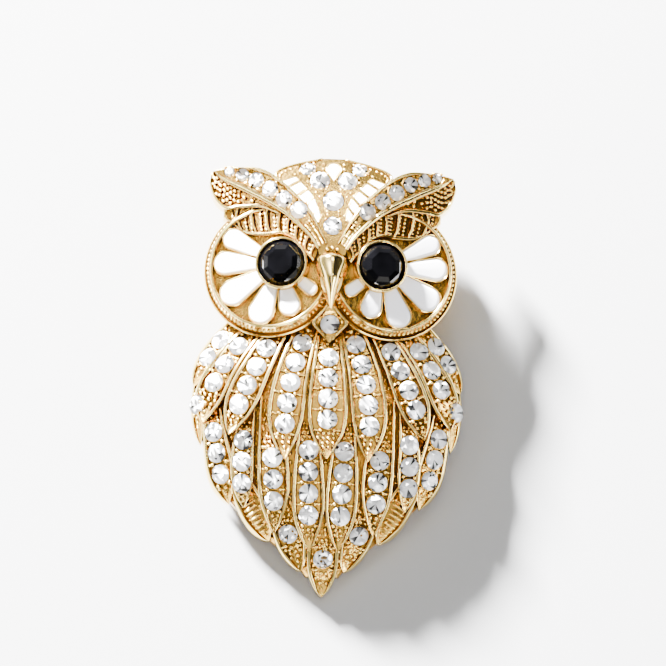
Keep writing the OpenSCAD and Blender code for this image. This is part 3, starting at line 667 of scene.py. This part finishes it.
def chord(f):
    """Straight length of a feather."""
    return math.hypot((f.tip_x - f.root_x) * HALF_WIDTH, (f.tip_y - f.root_y) * HALF_LENGTH)


def bed_depth(f, t):
    """The bed under the rims: deeper at the tip, and before the first stone of a belly feather."""
    root = 0.8 if f in lower_feathers else 0.0
    before = np.clip((f.first - 0.55 * PITCH / chord(f) - t) / 0.08, 0, 1)
    after = np.clip((t - f.first - (f.count - 0.4) * PITCH / chord(f)) / 0.08, 0, 1)
    return BED * (1 + root * before + 0.3 * after)


def feather(mesh, f, relief, lift):
    t = np.concatenate([np.linspace(0, 0.8, 60), np.linspace(0.8, 1, 20)[1:]])
    centre, side, half = spine(f, t), across(f, t), feather_half(f, t)
    rings = []
    for c, s, h, bed in zip(centre, side, half, bed_depth(f, t)):
        cut = cross_section(h, (RIM, RIM), bed, lift + SINK)
        p = c + s * cut[:, :1]
        rings.append(np.column_stack([p, relief(p[:, 0], p[:, 1]) - cut[:, 1]]))
    mesh.rings(rings, start=True, end=True, slots=bed_slots())
    # The roots of the belly feathers, under the feathers above, take the darkest gold: painted shade
    if f in lower_feathers:
        ring = len(rings[0])
        roots = int((t < f.first - 0.5 * PITCH / chord(f)).sum()) * ring
        start = len(mesh.slots) - (len(t) - 1) * ring - 2
        mesh.slots[start : start + roots] = [2 * q for q in mesh.slots[start : start + roots]]


def on_feather(f, relief, t, offset, drop):
    p = spine(f, t) + across(f, t) * offset
    return np.array([p[0], p[1], relief(p[0], p[1]) - drop])


def feather_trim(mesh, f, relief, rng):
    """Prong beads and ledges between the stones, and grains before and after them."""
    first, count, pitch = f.first, f.count, PITCH / chord(f)
    for i in range(-1, count):
        t = first + (i + 0.5) * pitch
        if t < 0.04:
            continue
        half, s = float(feather_half(f, t)), across(f, t)
        for side in (-1, 1):
            a, b = 0.95, half - RIM
            bead(mesh, on_feather(f, relief, t, side * min(0.85, half * 0.5), BED - 0.26), (0.25, 0.25, 0.24))
            if b > a + 0.1:
                at = on_feather(f, relief, t, side * (a + b) / 2, BED - 0.1)
                bead(mesh, at, ((b - a) / 2 + 0.2, 0.15, 0.22), along=(s[0], s[1], 0))
    if not count:
        for t in np.arange(0.16, 0.9, GRAIN_STEP / chord(f)):
            room, s = float(feather_half(f, t)) - RIM, across(f, t)
            bead(mesh, on_feather(f, relief, t, 0, BED - 0.08), (room, 0.19, 0.26), along=(s[0], s[1], 0))
        return
    step = 0.6 / chord(f)
    places = [*np.arange(0.03, first - 0.5 * pitch, step),
              *np.arange(first + (count - 0.36) * pitch, 0.95, step)]
    for k, t in enumerate(places):
        room = float(feather_half(f, t)) - RIM
        n = max(1, int(room * 2 / GRAIN_STEP)) if room > 0.08 else 0
        for i in range(n):
            u = (i + 0.5 + 0.2 * (k % 2 * 2 - 1) * (n > 1)) / n * 2 - 1
            at = on_feather(f, relief, t, room * u, bed_depth(f, t) - 0.08) + rng.uniform(-0.06, 0.06, 3)
            bead(mesh, at, rng.uniform(0.22, 0.3))


def dressed(mesh, grains, f, lift):
    """A feather raised by lift, with its trim."""
    feather(mesh, f, raised(lift), lift)
    feather_trim(grains, f, raised(lift), rng)


rng = np.random.default_rng(7)
feather_mesh, trim = Mesh(), Mesh()
half_feathers, half_trim = Mesh(), Mesh()
dressed(feather_mesh, trim, middle_tail, TAIL_RAISE)
dressed(feather_mesh, trim, middle_breast, UPPER_RAISE)
for f in tail_feathers:
    dressed(half_feathers, half_trim, f, TAIL_RAISE)
for k, f in enumerate(lower_feathers):
    dressed(half_feathers, half_trim, f, LOWER_RAISE - k * STEP)
for k, f in enumerate(breast_feathers):
    dressed(half_feathers, half_trim, f, UPPER_RAISE - (k + 1) * STEP)
rings = []
for along in np.linspace(throat_rows[0][0], throat_rows[-1][0], 40):
    half = HALF_WIDTH * float(np.interp(-along, [-r[0] for r in throat_rows], [r[1] for r in throat_rows]))
    cut = cross_section(half, (0.45, 0.45), BED + 0.1, 3)
    y = along * HALF_LENGTH
    rings.append(np.column_stack([cut[:, 0], np.full(len(cut), y), throat_relief(0, y) - cut[:, 1]]))
feather_mesh.rings(rings, start=True, end=True, slots=bed_slots())
feather_mesh.both(half_feathers)
trim.both(half_trim)
# Rims take the paler polished gold, a painted highlight; beds the darker grained gold and roots the darkest,
# painted shade in the hollows
feather_mesh.object("feathers", [gold_polish_and_highlight, gold_grain_and_shade, gold_deep_painted_shade], "gold", sharp=50, pits=True)

# Grains on the body between the feathers
for _ in range(BODY_GRAINS):
    x, share = rng.uniform(-0.92, 0.92), rng.uniform(-0.88, 0.12)
    y, w = share * HALF_LENGTH, HALF_WIDTH * float(body_width(share))
    at = np.array([x * w, y, float(dome(x * w, y, 0)) + 0.06])
    bead(trim, at, rng.uniform(0.17, 0.3))
trim.object("feather_grains", [gold], "gold", sharp=180)

# Brows, ear tufts and eyelids


def spline(rows, n):
    """Rows of a table drawn out to n rows along a smooth curve."""
    rows = np.array(rows, float)
    padded = np.vstack([2 * rows[0] - rows[1], rows, 2 * rows[-1] - rows[-2]])
    out = []
    for q in np.linspace(0, len(rows) - 1, n):
        k = min(int(q), len(rows) - 2)
        u = q - k
        a, b, c, d = padded[k : k + 4]
        square, cube = 2 * a - 5 * b + 4 * c - d, 3 * b - a - 3 * c + d
        out.append(0.5 * (2 * b + (c - a) * u + square * u * u + cube * u**3))
    return np.array(out)


def band_points(row):
    """Points of a band's high and low edge."""
    return row[:2] * (HALF_EARS, HALF_LENGTH), row[2:] * (HALF_EARS, HALF_LENGTH)


def ridge(mesh, table, relief, rims, bed, swell=0.0, slot=2, n=90):
    rings = []
    for row in spline(table, n):
        high, low = band_points(row)
        wide = np.linalg.norm(low - high)
        cut = cross_section(wide / 2, rims, bed, RIDGE_DEPTH, swell=swell)
        p = (high + low) / 2 + (low - high) / wide * cut[:, :1]
        rings.append(np.column_stack([p, relief(p[:, 0], p[:, 1]) - cut[:, 1]]))
    mesh.rings(rings, start=True, end=True, slots=np.array(bed_slots()) * slot)


def on_band(table, relief, q, u, drop):
    """A point of a band: q from 0 to 1 along it, u from 0 at its high edge to 1 at its low edge."""
    rows = spline(table, 101)
    high, low = band_points(rows[int(round(q * 100))])
    p = high + (low - high) * u
    return np.array([p[0], p[1], relief(p[0], p[1]) - drop]), high, low


side = Mesh()
ridge(side, lid_band, lid_relief, (0.3, 0.55), 0.55)
ridge(side, ear_band, ear_relief, (0.35, 0.6), 0.5, 0.1)
ridge(side, brow_band, brow_top, (0.42, 0.85), 0.48, 0.15, 1)
brows = Mesh()
brows.both(side)
# Rims take the paler polished gold, a painted highlight; the brow's bed a darker gold and the beds of lids
# and ear tufts the darkest, painted shade
brows.object("brows", [gold_polish_and_highlight, gold_painted_shade, gold_deep_painted_shade], "gold", sharp=50, pits=True)

side = Mesh()
# Rows of grains on the ear tufts
for k, q in enumerate(np.linspace(0.07, 0.93, 17)):
    _, high, low = on_band(ear_band, ear_relief, q, 0.5, 0)
    wide = np.linalg.norm(high - low)
    count = max(1, int((wide - 1.1) / 0.58))
    for i in range(count):
        u = (0.4 + (wide - 1.1) * (i + 0.5 + 0.25 * (k % 2 * 2 - 1) * (count > 1)) / count) / wide
        at, _, _ = on_band(ear_band, ear_relief, q, u, 0.32)
        bead(side, at, (0.27, 0.27, 0.3))
# Ribs across the eyelids with grains between them
for k, q in enumerate(np.linspace(0.06, 0.96, 25)):
    at, high, low = on_band(lid_band, lid_relief, q, 0.5, 0.3)
    wide = np.linalg.norm(high - low)
    if k % 3 == 0:
        line = [on_band(lid_band, lid_relief, min(1, max(0, q + 0.03 * math.sin(3 * u))), u, 0.12)[0]
                for u in np.linspace(0.08, 0.92, 9)]
        tube(side, line, 0.16)
    else:
        for u in np.arange(0.42, wide - 0.25, 0.5) / wide:
            at, _, _ = on_band(lid_band, lid_relief, q, u + 0.12 / wide * (k % 3 * 2 - 3), 0.3)
            bead(side, at, (0.22, 0.22, 0.26))
# Small grains on the root of the brow
for q in np.linspace(0.02, 0.2, 9):
    for u in (0.34, 0.66):
        at, _, _ = on_band(brow_band, brow_top, q, u, 0.2)
        bead(side, at, 0.19)
grains = Mesh()
grains.both(side)
grains.object("brow_grains", [gold], "gold", sharp=180)

# Facial discs


def on_disc(p):
    p = np.asarray(p, float)
    c, s = math.cos(DISC_SLOPE), math.sin(DISC_SLOPE)
    return np.column_stack([p[:, 0] * c + p[:, 2] * s + DISC_X, p[:, 1] + 0.461 * HALF_LENGTH,
                            -p[:, 0] * s + p[:, 2] * c + DISC_Z])


def on_eye(p):
    return on_disc(np.asarray(p, float) + (-0.147 * DISC_R, 0.072 * DISC_R, 0))


def on_bezel(p):
    return on_eye(np.asarray(p, float) + (BEZEL_SHIFT * DISC_R, 0, 0))


def shaped(mesh, place):
    """The mesh with its points put through a placing function."""
    out = Mesh()
    out.points = [place(np.vstack(mesh.points))]
    out.faces, out.slots, out.count = mesh.faces, mesh.slots, mesh.count
    return out


inner, low = DISC_R - RING_WIDTH, RING_HEIGHT - RING_WIDTH
profile = [(1.0, -DISC_PLATE), (DISC_R - 0.2, -DISC_PLATE), (DISC_R, -DISC_PLATE + 0.2), (DISC_R, low + 0.2),
           (DISC_R - 0.04, low + 0.32), (DISC_R - 0.14, low + 0.39), (DISC_R - 0.26, low + 0.36),
           (DISC_R - 0.34, low + 0.24), (DISC_R - 0.4, low + 0.16), (inner + 0.52, 0.36),
           (inner + 0.42, 0.56), (inner + 0.36, 0.7), (inner + 0.26, 0.79), (inner + 0.14, 0.8),
           (inner + 0.04, 0.74), (inner - 0.02, 0.6), (inner - 0.05, 0.0)]
shift = [0] * 8 + [0.03, 0.17] + [RING_SHIFT] * 7
plate = [(inner - 0.05, 0.0), (5.0, 0.0), (2.0, 0.0)]
plate_faces = 2 * DISC_SIDES + 1
disc = Mesh()
disc.rings(spun(profile, DISC_SIDES, shift), start=True)
disc.rings(spun(plate, DISC_SIDES, [RING_SHIFT, RING_SHIFT / 2, 0]), end=True)
# The ring keeps the paler polished gold, a painted highlight, and the floor of each disc takes the darkest
# gold: painted shade in the hollow
disc.slots[-plate_faces:] = [1] * plate_faces
placed = shaped(disc, on_disc)
discs = Mesh()
discs.both(placed)
discs.object("facial_discs", [gold_polish_and_highlight, gold_deep_painted_shade], "gold", sharp=45)

ring_beads = Mesh()
middle = DISC_R - 0.67
for i in range(RING_BEADS):
    a = i * 2 * math.pi / RING_BEADS
    bead(ring_beads, (middle * math.cos(a), middle * math.sin(a) + 0.1, 0.16), (0.24, 0.21, 0.24),
         along=(math.cos(a), math.sin(a), -0.7))
placed = shaped(ring_beads, on_disc)
milgrain = Mesh()
milgrain.both(placed)
milgrain.object("disc_beads", [gold], "gold", sharp=180)


def petal_outline(p, grow, n=56):
    """Outline of a petal: two circles, by the eye and at the tip, and the lines that touch both."""
    near, far = EYE / 2 + BEZEL_SHIFT * DISC_R + p.root * DISC_R, p.far * DISC_R
    r1, r2 = p.root * DISC_R * 1.2 + grow, p.tip * DISC_R + grow
    theta = math.acos((r1 - r2) / (far - near))
    tip = [(far + r2 * math.cos(a), r2 * math.sin(a)) for a in np.linspace(-theta, theta, n // 2)]
    rest = np.linspace(theta, 2 * math.pi - theta, n // 2)
    root = [(near + r1 * math.cos(a), r1 * math.sin(a)) for a in rest]
    a = math.radians(p.angle)
    xy = np.array(tip + root)
    return xy @ np.array([[math.cos(a), math.sin(a)], [-math.sin(a), math.cos(a)]])


def stacked(p, profile):
    out = []
    for grow, z in profile:
        xy = petal_outline(p, grow)
        out.append(np.column_stack([xy, np.full(len(xy), z)]))
    return out


walls = Mesh()
top = ENAMEL + PETAL_WALL
wall_profile = [(0.26, -0.2), (PETAL_WALL, top - 0.16), (0.19, top - 0.05), (0.11, top), (0.04, top - 0.05),
                (0.0, top - 0.2), (0.0, 0.1)]
for p in petals:
    walls.rings(stacked(p, wall_profile))
placed = shaped(walls, on_eye)
settings = Mesh()
settings.both(placed)
bezel_r = EYE / 2 + BEZEL_WALL
bezel_profile = [(bezel_r + 0.12, -0.2), (bezel_r + 0.04, 0.5), (bezel_r, BEZEL - 0.2),
                 (bezel_r - 0.07, BEZEL - 0.05), (bezel_r - 0.2, BEZEL), (bezel_r - 0.34, BEZEL - 0.06),
                 (bezel_r - 0.4, BEZEL - 0.2), (EYE / 2 + 0.03, 1.1), (EYE / 2 - 0.1, 0.95), (0.5, 0.95)]
bezel = Mesh()
bezel.rings(spun(bezel_profile, 96), end=True)
settings.both(shaped(bezel, on_bezel))
# Settings in the paler polished gold, a painted highlight
settings.object("eye_settings", [gold_polish_and_highlight], "gold", sharp=60)

enamel_profile = [(0.0, 0.05), (0.0, ENAMEL), (-0.05, ENAMEL + 0.1), (-0.16, ENAMEL + 0.17),
                  (-0.32, ENAMEL + 0.21), (-0.48, ENAMEL + 0.23)]
for name, sign in (("left", -1), ("right", 1)):
    for i, p in enumerate(petals):
        cell = Mesh()
        cell.rings(stacked(p, enamel_profile), start=True, end=True)
        cell = shaped(cell, on_eye)
        cell.points = [cell.points[0] * (sign, 1, 1)]
        if sign < 0:
            cell.faces = [f[::-1] for f in cell.faces]
        title = f"{name}_{i + 1}"
        cell.object(f"petal_enamel_{title}", [enamel], "white_enamel", [f"petal_{title}"], sharp=60)

# Beak and the beads round it

beak = Mesh()
rings = []
beak_table = np.array(beak_rows)
for along in np.linspace(beak_rows[0][0], beak_rows[-1][0], 34):
    w, edge_z, ridge_z, base = (float(np.interp(along, beak_table[:, 0], c)) for c in beak_table[:, 1:].T)
    w, y = w * BEAK_WIDTH / 2, along * HALF_LENGTH
    z0, z1, z2 = base * BEAK, edge_z * BEAK, ridge_z * BEAK
    q = np.linspace(-1, 1, 25)
    crest = z1 + (z2 - z1) * (0.25 * (1 - abs(q)) + 0.75 * (1 - abs(q) ** 2.2) ** 0.8)
    rings.append(arch(w, y, q, crest, z0, 0.7))
beak.rings(rings, start=True, end=True)
# The beak in the paler polished gold, a painted highlight
beak.object("beak", [gold_polish_and_highlight], "gold", sharp=60)

# Beads beside the beak and under the discs: across, along, height and radius
corner_rows = [
    (1.5, 9.2, 6.6, 0.3), (2.0, 10.1, 6.5, 0.34), (2.5, 11.2, 6.4, 0.3), (1.1, 8.2, 6.8, 0.26),
    (2.6, 12.6, 6.5, 0.32), (2.7, 5.2, 6.2, 0.26), (3.3, 4.6, 6.0, 0.22), (2.3, 3.6, 6.7, 0.2),
]
corner = Mesh()
half_corner = Mesh()
for *place, radius in corner_rows:
    bead(half_corner, place, radius)
corner.both(half_corner)
# Three beads over the beak
for i in range(-1, 2):
    bead(corner, (i * 0.62, 15.4 - 0.2 * abs(i), 8.95 - 0.1 * abs(i)), 0.24)
corner.object("corner_beads", [gold], "gold", sharp=180)

# Crown trim


def patch(mesh, outline, bottom, rise, inset):
    """An enamel patch that follows the crown, with a rounded edge."""
    outline = np.asarray(outline, float)
    centre = outline.mean(0)
    rings = []
    for k, dz in ((0.0, -bottom), (0.0, -0.02), (0.25, 0.6 * rise), (0.7, rise), (1.3, rise * 1.25)):
        d = centre - outline
        far = np.linalg.norm(d, axis=1, keepdims=True)
        p = outline + d / far * np.minimum(k * inset, far * 0.6)
        rings.append(np.column_stack([p, crown_top(p[:, 0], p[:, 1]) + dz]))
    mesh.rings(rings, start=True, end=True)


def line_end(k, side):
    """Inner (0) or outer (1) end of cross line k."""
    x, y = strip_lines[k][2 * side : 2 * side + 2]
    return np.array([x * HALF_EARS, y * HALF_LENGTH])


def strip_cell(k, edge):
    """Corners of an enamel cell between two cross lines, moved in by edge."""
    out = []
    for row, col in ((0, 0), (0, 1), (1, 1), (1, 0)):
        here = line_end(k + row, col)
        along = unit(line_end(k + 1 - row, col) - here)
        inward = unit(line_end(k + row, 1 - col) - here)
        out.append(here + along * (DIVIDER / 2 + edge) + inward * edge)
    return np.array(out)


def filled(corners, n=6):
    """A closed outline with n points to a side and its corners a little rounded."""
    out = []
    for a, b in zip(corners, np.roll(corners, -1, 0)):
        out += [a + (b - a) * u for u in np.linspace(0.08, 0.92, n)]
    return np.array(out)


def drop_outline(grow, n=28):
    r, y = 0.85 + grow, 0.924 * HALF_LENGTH
    a = np.radians(200 - np.linspace(0, 220, n))
    round_end = np.column_stack([r * np.cos(a), y + r * np.sin(a)])
    point = np.array([0, 0.868 * HALF_LENGTH - grow])
    left = [round_end[-1] + (point - round_end[-1]) * u for u in (0.33, 0.66)]
    right = [point + (round_end[0] - point) * u for u in (0.33, 0.66)]
    return np.vstack([round_end, left, [point], right])


for name, sign in (("left", -1), ("right", 1)):
    cells = Mesh()
    for k in range(len(strip_lines) - 1):
        outline = filled(strip_cell(k, 0.05)) * (sign, 1)
        patch(cells, outline if sign > 0 else outline[::-1], 0.3, 0.07, 0.16)
    cells.object(f"crown_cells_{name}", [enamel], "white_enamel", [f"crown_enamel_{name}"], sharp=60)
cells = Mesh()
patch(cells, drop_outline(-0.03), 0.3, 0.1, 0.2)
cells.object("crown_drop_enamel", [enamel], "white_enamel", ["crown_drop"], sharp=60)


def on_crown(points, lift):
    points = np.asarray(points, float)
    return np.column_stack([points, crown_top(points[:, 0], points[:, 1]) + lift])


def crown_edge(share, inwards, back):
    """A point of the crown's edge, moved inwards and back."""
    return HALF_EARS * float(crown_width(share)) - inwards, share * HALF_LENGTH - back


wires = Mesh()
half_wires = Mesh()
for k in range(len(strip_lines) - 1):
    corners = strip_cell(k, -0.06)
    tube(half_wires, on_crown(filled(corners, 5), 0.02), 0.1, close=True)
edge = [crown_edge(q, 0.12, 0.05) for q in np.linspace(0.86, 0.98, 30)]
tube(half_wires, on_crown(edge, 0.0), 0.17)
for q in np.linspace(0.885, 0.965, 9):
    bead(half_wires, on_crown([crown_edge(q, 0.6, 0.4)], 0)[0], 0.18)
# Single beads of the crown: across and along (share)
single_beads = [
    (1.75, 0.68), (1.45, 0.70), (1.75, 0.79), (1.5, 0.825), (0.9, 0.825), (3.1, 0.885), (3.3, 0.86),
    (0.72, 0.705), (0.72, 0.72), (2.2, 0.81), (1.35, 0.925), (1.3, 0.95), (4.3, 0.91), (4.9, 0.895),
]
for x, share in single_beads:
    bead(half_wires, on_crown([(x, share * HALF_LENGTH)], 0)[0], 0.2)
wires.both(half_wires)
tube(wires, on_crown(drop_outline(0.08), 0.02), 0.1, close=True)
wires.object("crown_trim", [gold], "gold", sharp=180)

# Stones


def stone_frame(axis):
    """Directions across, along and out of a stone."""
    u = unit(np.cross((0, 1, 0), axis))
    return np.array([u, np.cross(axis, u), axis])


def circle(n, r, z, turn=0.0):
    a = (np.arange(n) + turn) * 2 * math.pi / n
    return np.column_stack([r * np.cos(a), r * np.sin(a), np.full(n, z)])


def band_faces(upper, lower, n):
    """Faces between two rings of n points, by the number of each ring's first point."""
    return [(upper + i, lower + i, lower + (i + 1) % n, upper + (i + 1) % n) for i in range(n)]


def rhinestone(mesh, centre, axis, size, turn):
    """A foiled chaton: table, stars, kites and girdle facets over sixteen foiled facets, each foiled facet
    and some top facets painted a bright, grey or dark reflection at random.
    """
    n = 8
    pts = np.vstack([circle(n, 0.27, 0.245, turn), circle(n, 0.385, 0.185, turn + 0.5),
                     circle(2 * n, 0.5, 0.09, 2 * turn), circle(2 * n, 0.5, 0.06, 2 * turn), [(0, 0, -0.01)]])
    star, upper, lower, tip = n, 2 * n, 4 * n, 6 * n
    top_faces = [tuple(range(n))]
    for i in range(n):
        j, before = (i + 1) % n, (i - 1) % n
        top_faces.append((i, star + i, j))
        top_faces.append((i, star + before, upper + 2 * i, star + i))
        top_faces.append((star + i, upper + 2 * i, upper + 2 * i + 1))
        top_faces.append((star + i, upper + 2 * i + 1, upper + (2 * i + 2) % (2 * n)))
    girdle = band_faces(upper, lower, 2 * n)
    under = [(lower + (i + 1) % (2 * n), lower + i, tip) for i in range(2 * n)]
    pts = centre + (pts * size) @ stone_frame(axis)
    first = len(mesh.slots)
    mesh.add(pts, top_faces + girdle, 0)
    # Some top facets are painted as bright or dark foil reflections
    for q in range(1, len(top_faces)):
        mesh.slots[first + q] = int(rng.choice(TOP_SLOTS, p=TOP_SHARES))
    base = mesh.count - len(pts)
    mesh.faces += [tuple(i + base for i in f) for f in under]
    mesh.slots += [int(q) for q in rng.choice(UNDER_SLOTS, len(under), p=UNDER_SHARES)]


def collar(mesh, centre, axis, size):
    """The raised gold edge round a stone's girdle."""
    r = size / 2
    profile = [(r + 0.12, -0.25), (r + 0.12, 0.02), (r + 0.08, 0.1), (r + 0.03, 0.1), (r - 0.02, 0.05)]
    turn = stone_frame(axis)
    mesh.rings([centre + ring @ turn for ring in spun(profile, 24)])


collars = Mesh()
for node, places in stones.items():
    gem = Mesh()
    for centre, axis, size in places:
        rhinestone(gem, centre, axis, size, rng.uniform(0, 1))
        collar(collars, centre, axis, size)
        if node.startswith(("crown", "brow", "throat")):
            for prong in circle(4, size / 2 + 0.12, 0.12, 0.5) @ stone_frame(axis):
                bead(collars, centre + prong, 0.2)
    gem.object("gem_" + node, [glass, *reflection_foils], "clear_stone", [node], sharp=0)
# Collars in the darkest gold: painted shade round the stones
collars.object("stone_collars", [gold_deep_painted_shade], "gold", sharp=180)


def eye_stone(mesh, centre, axis, size):
    """A black chaton with a wide table, eight main facets and a ring of small ones."""
    n = 8
    pts = np.vstack([circle(n, 0.29, 0.25, 0.5), circle(n, 0.40, 0.185, 0.5), circle(2 * n, 0.5, 0.05),
                     circle(2 * n, 0.5, 0.0)])
    star, upper, lower = n, 2 * n, 4 * n
    faces = [tuple(range(n)), tuple(range(lower + 2 * n - 1, lower - 1, -1))]
    for i in range(n):
        j = (i + 1) % n
        faces.append((i, star + i, star + j, j))
        faces.append((star + i, upper + 2 * i, upper + 2 * i + 1))
        faces.append((star + i, upper + 2 * i + 1, upper + (2 * i + 2) % (2 * n), star + j))
    faces += band_faces(upper, lower, 2 * n)
    mesh.add(centre + (pts * size) @ stone_frame(axis), faces)
    for q in range(2, len(mesh.slots)):
        mesh.slots[q] = int(rng.random() < EYE_BRIGHT)


for name in ("left", "right"):
    gem = Mesh()
    for centre, axis, size in islands(f"eye_{name}"):
        eye_stone(gem, centre, axis, size)
    gem.object(f"eye_stone_{name}", blacks, "black_stone", [f"eye_{name}"], sharp=0)

# The pin stays as the CAD draws it
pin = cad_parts["pin_back"]
pin.data.materials.clear()
pin.data.materials.append(gold)

# Floor, light and camera

floor_material, nodes, links, bsdf = material("pale_floor")
clouded(nodes, links, bsdf, 6.0, (0.265, 0.265, 0.267), (0.277, 0.277, 0.279))
put(bsdf, {"Roughness": 0.4})
mesh = bpy.data.meshes.new("floor")
mesh.from_pydata([(-2, -2, 0), (2, -2, 0), (2, 2, 0), (-2, 2, 0)], [], [(0, 1, 2, 3)])
mesh.materials.append(floor_material)
floor = linked("floor", mesh)

world = bpy.data.worlds.new("studio")
bpy.context.scene.world = world
world.use_nodes = True
nodes, links = world.node_tree.nodes, world.node_tree.links
where = nodes.new("ShaderNodeTexCoord")
room = nodes.new("ShaderNodeTexNoise")
put(room, {"Scale": 2.2, "Detail": 1.0})
links.new(where.outputs["Generated"], room.inputs["Vector"])
stops = [(0.44, (0.02, 0.02, 0.02, 1)), (0.53, (0.25, 0.24, 0.23, 1)), (0.64, (2.0, 1.95, 1.9, 1))]
shade = ramp(nodes, links, room.outputs["Fac"], stops)
back = nodes["Background"]
links.new(shade.outputs["Color"], back.inputs["Color"])
put(back, {"Strength": 0.5})


def look(o, at, aim, roll=0.0):
    """Puts a lamp or camera at a place, facing another, with +Y upwards in its view."""
    behind = unit(np.subtract(at, aim))
    right = unit(np.cross((0, 1, 0), behind))
    turn = Matrix(np.column_stack([right, np.cross(behind, right), behind]).tolist())
    o.matrix_world = Matrix.Translation(at) @ turn.to_4x4() @ Matrix.Rotation(roll, 4, "Z")


def area(name, at, size, power):
    """A rectangular lamp that faces the brooch."""
    lamp = bpy.data.lights.new(name, "AREA")
    lamp.shape, lamp.energy = "RECTANGLE", power
    lamp.size, lamp.size_y = size
    look(linked(name, lamp), at, MIDDLE)


MIDDLE = (0, 0, 0.006)
area("key", (-0.56, 0.78, 0.35), (0.13, 0.13), 875.0)
area("top_panel", (-0.05, -0.09, 1.10), (0.8, 1.3), 5.0)
area("strip_top", (0.15, 0.55, 0.85), (0.7, 0.035), 3.0)
area("strip_left", (-0.62, 0.05, 0.75), (0.035, 0.7), 3.0)
area("fill_right", (0.86, -0.10, 0.34), (0.12, 0.5), 9.0)
area("fill_low", (0.10, -0.86, 0.42), (0.5, 0.12), 9.0)

camera = linked("camera", bpy.data.cameras.new("camera"))
camera.data.lens, camera.data.sensor_width = 384.5, 36.0
camera.data.clip_start, camera.data.clip_end = 0.01, 10.0
# Angle above the floor, lean to the left and roll of the camera, and how far off it is
TILT, LEAN, ROLL, FAR = math.radians(76), math.radians(1.7), math.radians(1.4), 0.9
target = np.array([0.00050, 0.0053, 0.007])
spot = target + FAR * np.array([-math.sin(LEAN), -math.cos(TILT), math.sin(TILT) * math.cos(LEAN)])
look(camera, spot, target, ROLL)
bpy.context.scene.camera = camera
